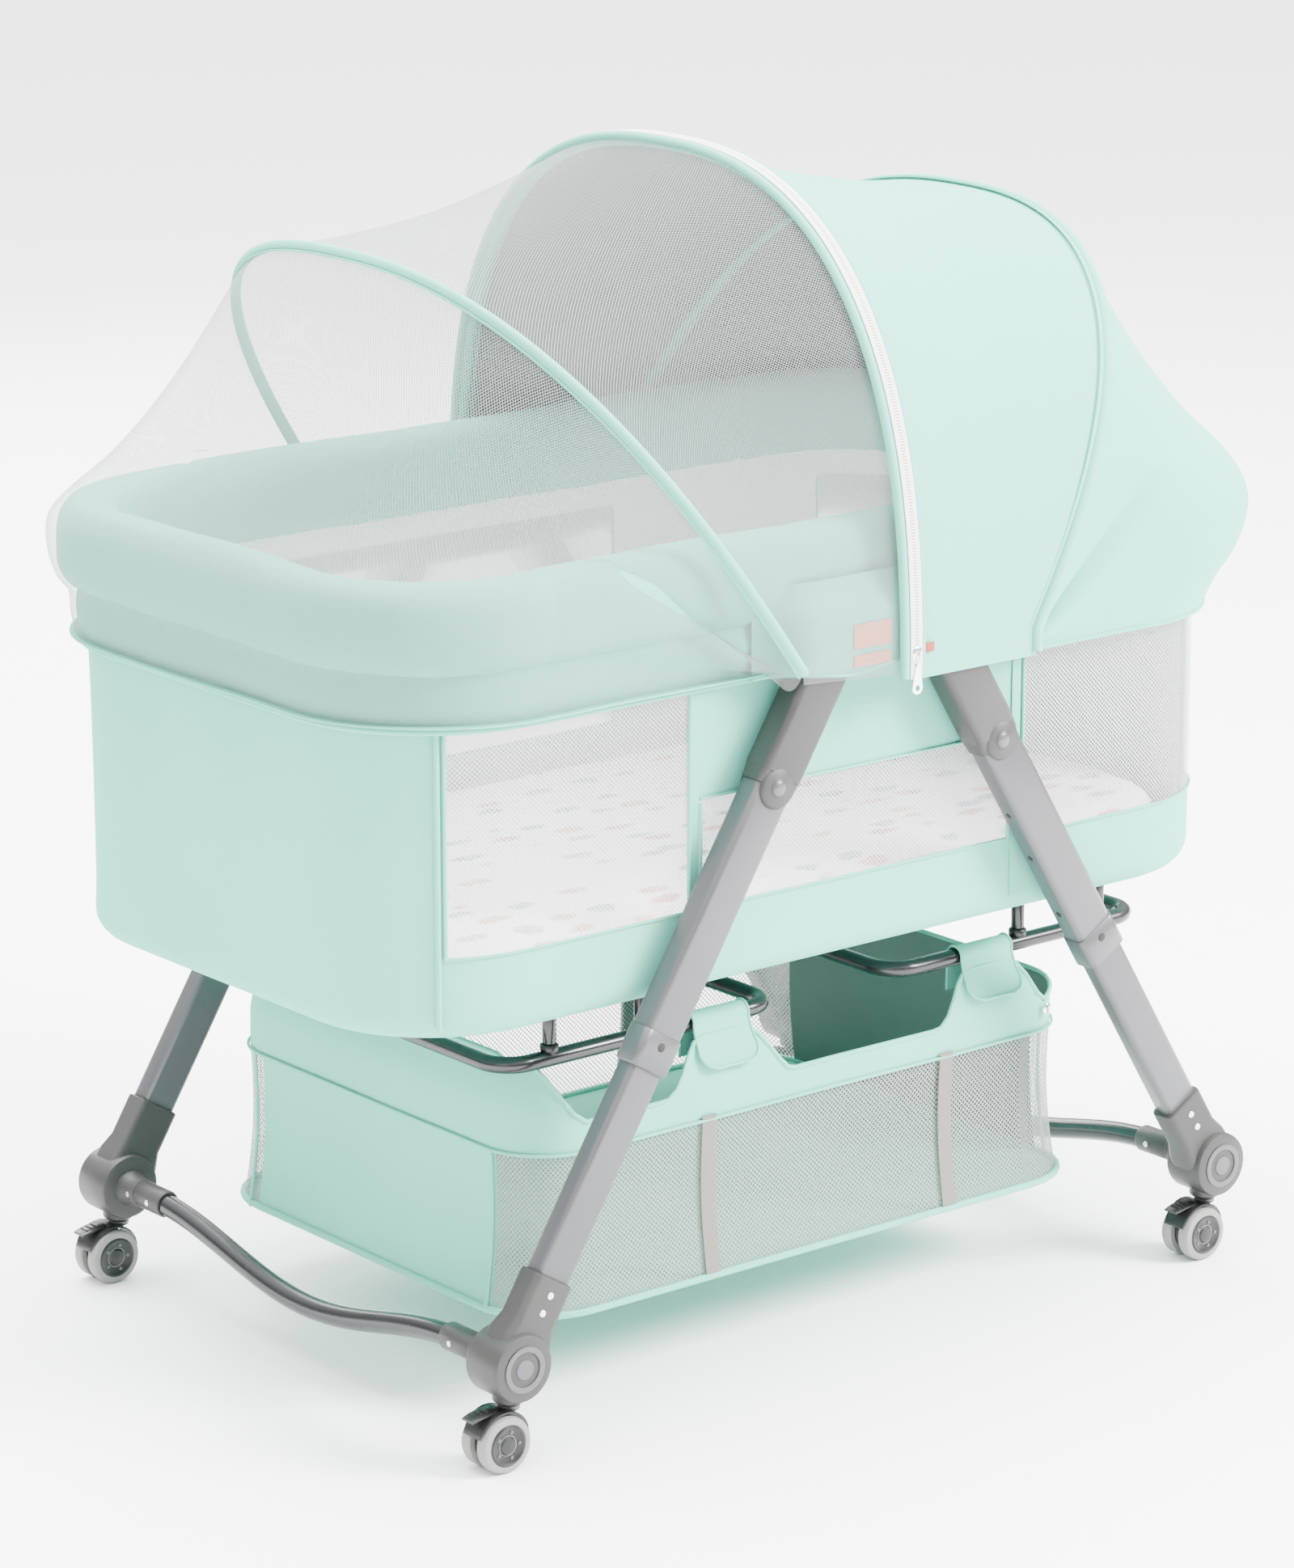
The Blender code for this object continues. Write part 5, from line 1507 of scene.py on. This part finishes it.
def build_caster(stand, end, end_sign, side, sign):
    name = f"{end}_{side}"
    x, y = stand.leg_x + end_sign * stand.foot_x, sign * stand.leg_y
    axle = Matrix.Translation((x - stand.trail, y, stand.wheel_radius))
    lying = axle @ Matrix.Rotation(math.pi / 2, 4, "X")
    r, gap, width = stand.wheel_radius, stand.wheel_gap / 2, stand.wheel_width
    wheels = Shape()
    for flip in (1, -1):
        place = lying if flip > 0 else lying @ Matrix.Rotation(math.pi, 4, "X")
        lathe(wheels, [(0.004, gap), (r - 0.0015, gap), (r - 0.0003, gap + 0.0012), (r, gap + 0.003), (r, gap + width - 0.004),
                       (r - 0.0012, gap + width - 0.0015), (r - 0.004, gap + width - 0.0003), (r - 0.0062, gap + width - 0.0006), (0.004, gap + width - 0.002)], place, 56)
        lathe(wheels, [(0.0, gap + width - 0.004), (r - 0.0060, gap + width - 0.0035), (r - 0.0066, gap + width - 0.0004), (r - 0.0085, gap + width + 0.0004),
                       (r - 0.0110, gap + width - 0.0008), (0.0085, gap + width - 0.0016), (0.0070, gap + width + 0.0002), (0.0055, gap + width + 0.0006),
                       (0.0, gap + width + 0.0008)], place, 48, 1)
        for spoke in range(5):
            a = 2 * math.pi * spoke / 5
            at = place @ Matrix.Rotation(a, 4, "Z") @ Matrix.Translation((0.0118, 0, 0))
            disc(wheels, 0.0017, gap + width - 0.002, gap + width - 0.0004, at, 0.0003, 14, 2)
    lathe(wheels, [(0.0, -gap - 0.001), (0.0029, -gap - 0.001), (0.0029, gap + 0.001), (0.0, gap + 0.001)], lying, 20, 2)
    wheels.piece(f"caster_wheels_{name}_twin", ["tyre", "black", "tube"], f"wheels_{name}", "wheel", [f"caster_wheels_{name}"], smooth=35)

    body = Shape()
    half = gap - 0.0012
    outline = []
    for step in range(25):
        a = math.radians(-60 + 300 * step / 24)
        outline.append((-stand.trail + 0.0195 * math.cos(a), stand.wheel_radius + 0.0195 * math.sin(a)))
    points = [(u, v * half, w) for v in (-1, 1) for u, w in outline]
    count = len(outline)
    faces = [(i, (i + 1) % count, count + (i + 1) % count, count + i) for i in range(count)]
    faces += [tuple(range(count))[::-1], tuple(range(count, 2 * count))]
    stem = Matrix.Translation((x, y, 0))
    body.add(points, faces, stem)
    hood_rows = []
    for step in range(13):
        a = math.radians(10 + 150 * step / 12)
        wide = 0.0145 * (0.72 + 0.28 * math.sin(a))
        reach = r + 0.0022
        hood_rows.append([(-stand.trail + reach * math.cos(a), side_y * wide, stand.wheel_radius + reach * math.sin(a)) for side_y in (-1, -0.6, 0, 0.6, 1)])
    skin = [p for row in hood_rows for p in row]
    thick = [(px, py * 0.96, pz + 0.0016) for px, py, pz in skin]
    rows_n, cols_n = len(hood_rows), 5
    low_faces = strips(rows_n, cols_n)
    high_faces = [tuple(i + rows_n * cols_n for i in face)[::-1] for face in low_faces]
    rim = list(range(cols_n)) + [r_i * cols_n + cols_n - 1 for r_i in range(1, rows_n)] + [
        (rows_n - 1) * cols_n + c for c in range(cols_n - 2, -1, -1)] + [r_i * cols_n for r_i in range(rows_n - 2, 0, -1)]
    band = [(rim[i], rim[(i + 1) % len(rim)], rim[(i + 1) % len(rim)] + rows_n * cols_n, rim[i] + rows_n * cols_n) for i in range(len(rim))]
    body.add(skin + thick, [f[::-1] for f in low_faces] + [f[::-1] for f in high_faces] + band, stem)
    lathe(body, [(0.0, 0.0505), (0.0088, 0.0505), (0.0095, 0.0515), (0.0095, 0.0545), (0.0082, 0.0560), (0.0, 0.0560)], stem, 32, 1)
    disc(body, 0.0053, 0.050, 0.066, stem, 0.0005, 24, 2)
    body.piece(f"caster_body_{name}_forked", ["black", "tube", "bright"], f"swivel_{name}", "black_plastic", [f"caster_body_{name}"], smooth=40)

    pedal = Shape()
    low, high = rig.box(f"brake_pedal_{name}")
    middle_y, wide = (low.y + high.y) / 2, (high.y - low.y) / 2
    rows = []
    for step in range(9):
        share = step / 8
        px = high.x - (high.x - low.x) * share
        pz = low.z + 0.0012 - 0.004 * share * share
        w_here = wide * (0.72 + 0.28 * math.sin(math.pi * min(1, 0.25 + share * 0.6)))
        rows.append([(px, middle_y + k * w_here, pz + (0.0022 if abs(k) < 0.9 else 0.0012)) for k in (-1, -0.85, 0, 0.85, 1)]
                    + [(px, middle_y + k * w_here, pz) for k in (1, 0, -1)])
    points = [p for row in rows for p in row]
    faces = [f[::-1] for f in strips(9, 8, closed=True)] + [tuple(range(8)), tuple(range(64, 72))[::-1]]
    pedal.add(points, faces)
    for rib in (0.35, 0.55, 0.75):
        px = high.x - (high.x - low.x) * rib
        soft_bar(pedal, 0.0016, wide * 1.3, 0, 0.0012, 0.0005, Matrix.Translation((px, middle_y, low.z + 0.0042 - 0.004 * rib * rib)), ease=0.0003)
    pedal.piece(f"brake_pedal_{name}_ribbed", "black", f"brake_{name}", "black_plastic", [f"brake_pedal_{name}"], smooth=40)


# ---------------------------------------------------------------- loops and basket


def build_loops(settings):
    basket, crib = settings.basket, settings.crib
    for end, end_sign in ENDS.items():
        low, high = getattr(basket, f"{end}_loop")
        middle, half = (low + high) / 2, (high - low) / 2
        path = [(x, y, basket.loop_z) for x, y in rounded(half, basket.loop_y, basket.loop_corner, middle, 10)]
        shape = Shape()
        fine = []
        for a, b in zip(path, path[1:] + path[:1]):
            a, b = Vector(a), Vector(b)
            fine += [a.lerp(b, i / 4) for i in range(4)] if (b - a).length > 0.05 else [a]
        sweep(shape, fine, circle(basket.loop_radius, 18), [Vector((0, 0, 1))] * len(fine), closed=True)
        for inset in (0.05, 0.15):
            for sign in SIDES.values():
                at = Matrix.Translation((middle + end_sign * (half - inset), sign * basket.loop_y, 0))
                disc(shape, 0.006, basket.loop_z, crib.floor_z - 0.0005, at, 0.0005, 24)
                disc(shape, 0.0082, basket.loop_z + 0.006, basket.loop_z + 0.013, at, 0.001, 24, 1)
                disc(shape, 0.0105, crib.floor_z - 0.004, crib.floor_z - 0.0006, at, 0.001, 24, 1)
        shape.piece(f"frame_loop_{end}_tube", ["dark", "black"], "crib", "dark_steel", [f"frame_loop_{end}"])
    basket_pieces(settings)


def basket_top(basket, x, y, center_x):
    """Height of the basket's scalloped top edge: it dips between the straps and climbs at them and at the foot end."""
    if abs(y) < basket.half_width - basket.corner and x < center_x:
        return basket.scallop_z + 0.050
    peaks = [(center_x - basket.half_length - 0.02, 0.075, 0.052), (basket.strap_x[0], 0.060, 0.046), (basket.strap_x[1], 0.058, 0.046),
             (center_x + basket.half_length + 0.06, 0.10, 0.012)]
    lift = 0.0
    for place, reach, height in peaks:
        away = abs(x - place) / reach
        shape = 1 - ease((away - 0.42) / 0.80)
        lift = max(lift, height * shape)
    return basket.scallop_z - 0.006 + lift


def basket_pieces(settings):
    basket, crib = settings.basket, settings.crib
    cx = crib.center_x
    outline = rounded(basket.half_length, basket.half_width, basket.corner, cx, 8)
    line = []
    for a, b in zip(outline, outline[1:] + outline[:1]):
        a, b = Vector(a), Vector(b)
        count = max(1, int((b - a).length / 0.009))
        line += [a.lerp(b, i / count) for i in range(count)]
    count = len(line)
    runs = [0.0]
    for a, b in zip(line, line[1:]):
        runs.append(runs[-1] + (b - a).length)
    lower = marks([basket.bottom_z + 0.002, basket.band_z], 0.012)
    ups = 9

    def pulled(p, z, inward):
        share = min(1.0, max(0.0, (z - basket.bottom_z) / (basket.band_z - basket.bottom_z)))
        inset_x = max(0.0, abs(p.x - cx) - (basket.half_length - basket.corner))
        inset_y = max(0.0, abs(p.y) - (basket.half_width - basket.corner))
        out = Vector((math.copysign(inset_x, p.x - cx), math.copysign(inset_y, p.y))).normalized()
        sag = 0.005 * math.sin(math.pi * share) + 0.0016 * share * ripple(p.x * 7, p.y * 7, z * 5, 2.0)
        q = p - out * (sag + inward + 0.008 * share)
        return (q.x, q.y, z)

    points, uvs = [], []
    for z in lower:
        points += [pulled(p, z, 0.001) for p in line]
        uvs += [(run, z) for run in runs]
    for step in range(1, ups + 1):
        for p, run in zip(line, runs):
            top = basket_top(basket, p.x, p.y, cx)
            z = basket.band_z + (top - basket.band_z) * step / ups
            points.append(pulled(p, z, 0.001 + 0.012 * ease((z - basket.scallop_z) / 0.05)))
            uvs.append((run, z))
    rows = len(lower) + ups
    body, net, floor = [], [], []
    for face in strips(rows, count, closed=True):
        row, column = divmod(face[0], count)
        p = line[column]
        at_end = abs(abs(p.x - cx) - basket.half_length) < 0.004 and abs(p.y) < basket.half_width - basket.corner + 0.012
        if row >= len(lower) - 1 or at_end:
            body.append(face)
        else:
            net.append(face)
    cloth = Shape().add(points, body, uvs=uvs).piece("basket_cloth", "mint_basket", "crib", "mint_fabric", ["basket"])
    mesh = Shape().add(points, net, uvs=uvs).piece("basket_mesh", "basket_net", "crib", "net")
    base_points = [(p.x, p.y, basket.bottom_z + 0.002) for p in line]
    inner = [(cx + (p.x - cx) * 0.9, p.y * 0.88, basket.bottom_z + 0.0012) for p in line]
    base = Shape().add(base_points + inner, strips(2, count, closed=True)[:] + [tuple(range(count, 2 * count))]).piece(
        "basket_base", "mint", "crib", "mint_fabric")
    for obj in (cloth, mesh):
        drop_loose(obj)
    trim = Shape()
    sweep(trim, [(p.x, p.y, basket.bottom_z + 0.003) for p in line], circle(0.0032, 10), closed=True)
    band_low = [pulled(p, basket.band_z, -0.0012) for p in line]
    sweep(trim, band_low, circle(0.0015, 8), closed=True)
    tops = []
    for p in line:
        top = basket_top(basket, p.x, p.y, cx)
        tops.append(pulled(p, top, 0.001 + 0.012 * ease((top - basket.scallop_z) / 0.05)))
    sweep(trim, tops, circle(0.0021, 8), closed=True)
    for y in (-1, 1):
        for end in (-1, 1):
            edge = basket.half_width - basket.corner + 0.010
            path = [pulled(Vector((cx + end * basket.half_length, y * edge)), z, -0.001) for z in marks([basket.bottom_z, basket.band_z], 0.02)]
            sweep(trim, path, circle(0.0017, 8))
    trimmed = trim.piece("basket_piping", "mint_piping", "crib", "mint_fabric")
    web = Shape()
    for x in (-0.141, 0.137):
        for sign in SIDES.values():
            path = [pulled(Vector((x, sign * basket.half_width)), z, -0.0016) for z in marks([basket.bottom_z + 0.004, basket.band_z + 0.004], 0.012)]
            sweep(web, path, flat(0.016, 0.0016), [Vector((0, sign, 0))] * len(path))
    webbing = web.piece("basket_webbing", "webbing", "crib", "mint_fabric")
    snap = Shape()
    for x in (0.262,):
        place = Matrix.Translation((x, -basket.half_width + 0.0085, 0.250)) @ Matrix.Rotation(math.pi / 2, 4, "X")
        disc(snap, 0.0055, -0.001, 0.0018, place, 0.0008, 24)
    snaps = snap.piece("basket_snaps", "bright", "crib", "zip_metal")
    around = runs[-1] + 0.009
    net_high = basket.band_z - basket.bottom_z
    panel = 2 * (basket.half_width - basket.corner + 0.012)
    band_high = basket.scallop_z + 0.025 - basket.band_z
    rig.sheet(cloth, flat=(around, basket.loop_z - basket.bottom_z), held="hung", rests_on=["frame_loop_front", "frame_loop_rear"],
             area=around * band_high + 2 * panel * net_high,
             with_pieces=[trimmed, webbing, snaps])
    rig.sheet(mesh, flat=(around - 2 * panel, net_high), held="hung", rests_on=[cloth])
    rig.sheet(base, flat=(2 * basket.half_length, 2 * basket.half_width), held="laid", rests_on=[mesh])
    build_straps(settings)


def build_straps(settings):
    """Tongues of the basket's cloth that wrap the frame loops and fold back down outside with a round end."""
    basket = settings.basket
    r = basket.loop_radius + 0.0020
    for end, x in zip(ENDS, basket.strap_x):
        for side, sign in SIDES.items():
            line = [(0.1960, 0.280), (0.1950, 0.296)]
            for step in range(0, 9):
                a = math.radians(180 - 24 * step)
                line.append((basket.loop_y + r * math.cos(a), basket.loop_z + 0.001 + r * math.sin(a)))
            line += [(0.2155, 0.303), (0.2205, 0.292), (0.2262, 0.282), (0.2310, 0.276)]
            path = smooth_path([Vector((0, v, z)) for v, z in line], 0.0035)
            runs = [0.0]
            for a, b in zip(path, path[1:]):
                runs.append(runs[-1] + (b - a).length)
            half, rows = basket.strap_width / 2, []
            for p, run in zip(path, runs):
                left = runs[-1] - run
                flare = half * (1 - 0.06 * math.sin(math.pi * run / runs[-1]))
                if left < 0.016:
                    flare = half - 0.016 + math.sqrt(max(0.0, 0.016**2 - (0.016 - left) ** 2))
                rows.append([Vector((x + flare * k, sign * (p.y + 0.0008 + 0.0016 * abs(k) ** 3 * ease(1 - left / 0.03) + 0.0008 * ripple(k * 2, run * 30, x * 9)), p.z))
                             for k in [j / 7 - 1 for j in range(15)]])
            name = f"basket_strap_{end}_{side}"
            strap = sheet_piece(f"{name}_cloth", rows, "mint", "crib", "mint_fabric", [name], flip=sign < 0)
            edge = Shape()
            rim = [row[0] for row in rows] + rows[-1][1:-1] + [row[-1] for row in reversed(rows)]
            sweep(edge, rim, circle(0.0013, 8))
            hem = edge.piece(f"{name}_hem", "mint_piping", "crib", "mint_fabric")
            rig.sheet(strap, flat=(basket.strap_width, runs[-1]), held="hung", rests_on=[f"frame_loop_{end}"], with_pieces=[hem])


def dress_frame_nodes(nodes):
    """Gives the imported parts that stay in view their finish."""
    finishes = {"base_board": "board", "hub_near": "arm", "hub_far": "arm"}
    finishes.update({name: "black" for name in nodes if name.startswith("height_pin_")})
    for name, finish in finishes.items():
        mesh = nodes[name].data
        mesh.materials.clear()
        mesh.materials.append(MATERIALS[finish])


# ---------------------------------------------------------------- stage


def build_stage(settings):
    stage = settings.stage
    scene = bpy.context.scene
    data = bpy.data.cameras.new("camera")
    data.lens = stage.lens
    data.sensor_fit = "HORIZONTAL"
    data.sensor_width = 36.0
    data.clip_end = 100.0
    camera = bpy.data.objects.new("camera", data)
    scene.collection.objects.link(camera)
    a, e = stage.azimuth, stage.elevation
    back = Vector((math.sin(a) * math.cos(e), -math.cos(a) * math.cos(e), math.sin(e)))
    camera.location = Vector(stage.target) + back * stage.distance
    camera.rotation_mode = "QUATERNION"
    camera.rotation_quaternion = (-back).to_track_quat("-Z", "Y")
    scene.camera = camera

    for name, place, size, energy, tone in (
        ("key", (2.8, -3.4, 3.2), 2.2, 1250, (1.0, 0.99, 0.98)),
        ("fill", (-3.6, -2.2, 1.8), 3.0, 40, (0.97, 0.985, 1.0)),
        ("top", (-0.2, 0.6, 4.4), 3.4, 700, (1.0, 1.0, 1.0)),
        ("back", (1.2, 4.0, 2.4), 3.0, 260, (1.0, 1.0, 1.0)),
    ):
        light = bpy.data.lights.new(name, "AREA")
        light.shape = "DISK"
        light.size = size
        light.energy = energy
        light.color = tone
        lamp = bpy.data.objects.new(name, light)
        scene.collection.objects.link(lamp)
        lamp.location = place
        lamp.rotation_mode = "QUATERNION"
        lamp.rotation_quaternion = (Vector((0, 0, 0.45)) - Vector(place)).to_track_quat("-Z", "Y")

    world = bpy.data.worlds.new("studio")
    world.use_nodes = True
    shader = world.node_tree.nodes["Background"]
    shader.inputs["Color"].default_value = (1.0, 1.0, 1.0, 1)
    nodes, links = world.node_tree.nodes, world.node_tree.links
    coords, split, ramp = (nodes.new(f"ShaderNode{kind}") for kind in ("TexCoord", "SeparateXYZ", "MapRange"))
    ramp.interpolation_type = "SMOOTHSTEP"
    for name, value in (("From Min", 0.10), ("From Max", 0.95), ("To Min", stage.horizon), ("To Max", stage.zenith)):
        ramp.inputs[name].default_value = value
    links.new(coords.outputs["Generated"], split.inputs["Vector"])
    links.new(split.outputs["Z"], ramp.inputs["Value"])
    links.new(ramp.outputs["Result"], shader.inputs["Strength"])
    scene.world = world

    ground = Material("studio_floor", (0.92, 0.92, 0.92), 0.9)
    mottle = ground.noise(ground.coords(), 3.0, 3.0)
    ground.set(ground.shader, {"Base Color": ground.mix(mottle, (0.94, 0.94, 0.94, 1), (0.955, 0.955, 0.955, 1)), "Specular IOR Level": 0.1})
    MATERIALS["floor"] = ground.material
    size = 60.0
    floor = Shape().add([(-size, -size, 0), (size, -size, 0), (size, size, 0), (-size, size, 0)], [(0, 1, 2, 3)]).piece("floor", "floor")
    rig.stage(floor)


# ---------------------------------------------------------------- operators


class BuildStep:
    """What every operator here shares: it builds from the scene's settings and reports what went wrong."""

    bl_options = {"REGISTER"}

    @classmethod
    def poll(cls, context):
        return context.scene is not None

    def execute(self, context):
        self.build(context.scene.bassinet)
        return {"FINISHED"}


class BASSINET_OT_stage(BuildStep, bpy.types.Operator):
    """Makes the materials, camera, lights and floor"""

    bl_idname = "bassinet.stage"
    bl_label = "Stage"

    def build(self, settings):
        MATERIALS.update(make_materials(settings.colors))
        build_stage(settings)


class BASSINET_OT_crib(BuildStep, bpy.types.Operator):
    """Makes the crib's wall with its mesh windows, the mattress and the padded rim"""

    bl_idname = "bassinet.crib"
    bl_label = "Crib"

    def build(self, settings):
        build_wall(settings)
        build_mattress(settings)
        build_rim(settings)


class BASSINET_OT_hood(BuildStep, bpy.types.Operator):
    """Makes the bows, the hood, the net, the zip and the sewn tabs"""

    bl_idname = "bassinet.hood"
    bl_label = "Hood and net"

    def build(self, settings):
        build_bows(settings)
        build_hood(settings)
        build_net(settings)
        build_flap(settings)
        build_tabs(settings)


class BASSINET_OT_stand(BuildStep, bpy.types.Operator):
    """Makes the legs, feet, rocker bars and casters"""

    bl_idname = "bassinet.stand"
    bl_label = "Stand"

    def build(self, settings):
        for end, end_sign in ENDS.items():
            for side, sign in SIDES.items():
                build_leg(settings.stand, end, end_sign, side, sign)
                build_caster(settings.stand, end, end_sign, side, sign)
            build_rocker(settings.stand, end, end_sign)


class BASSINET_OT_basket(BuildStep, bpy.types.Operator):
    """Makes the frame loops under the crib and the storage basket with its straps"""

    bl_idname = "bassinet.basket"
    bl_label = "Basket"

    def build(self, settings):
        build_loops(settings)


STEPS = (BASSINET_OT_stage, BASSINET_OT_crib, BASSINET_OT_hood, BASSINET_OT_stand, BASSINET_OT_basket)
GROUPS = (CribSettings, StandSettings, BasketSettings, HoodSettings, ColorSettings, StageSettings, BassinetSettings)


class BASSINET_PT_panel(bpy.types.Panel):
    """Buttons and sizes of the bassinet, in the 3D view's sidebar"""

    bl_idname = "BASSINET_PT_panel"
    bl_label = "Bassinet"
    bl_space_type = "VIEW_3D"
    bl_region_type = "UI"
    bl_category = "Bassinet"

    def draw(self, context):
        for step in STEPS:
            self.layout.operator(step.bl_idname)
        for part in ("crib", "stand", "basket", "hood", "colors", "stage"):
            group = getattr(context.scene.bassinet, part)
            box = self.layout.box()
            box.label(text=part.capitalize())
            for name in group.__annotations__:
                box.prop(group, name)


def register():
    for kind in (*GROUPS, *STEPS, BASSINET_PT_panel):
        bpy.utils.register_class(kind)
    bpy.types.Scene.bassinet = bpy.props.PointerProperty(
        name="Bassinet", description="Sizes and colours of the bassinet", type=BassinetSettings
    )


def unregister():
    del bpy.types.Scene.bassinet
    for kind in (BASSINET_PT_panel, *reversed(STEPS), *reversed(GROUPS)):
        bpy.utils.unregister_class(kind)


def main():
    for obj in list(bpy.data.objects):
        bpy.data.objects.remove(obj, do_unlink=True)
    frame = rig.load()
    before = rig.bounds()
    register()
    bpy.ops.bassinet.stage()
    bpy.ops.bassinet.crib()
    bpy.ops.bassinet.hood()
    bpy.ops.bassinet.stand()
    bpy.ops.bassinet.basket()
    dress_frame_nodes(frame["nodes"])
    bpy.context.view_layer.update()
    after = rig.bounds()
    with open(SIZE_FILE, "w") as out:
        json.dump({"cad": [list(corner) for corner in before], "model": [list(corner) for corner in after]}, out, indent=1)


if __name__ == "__main__":
    main()
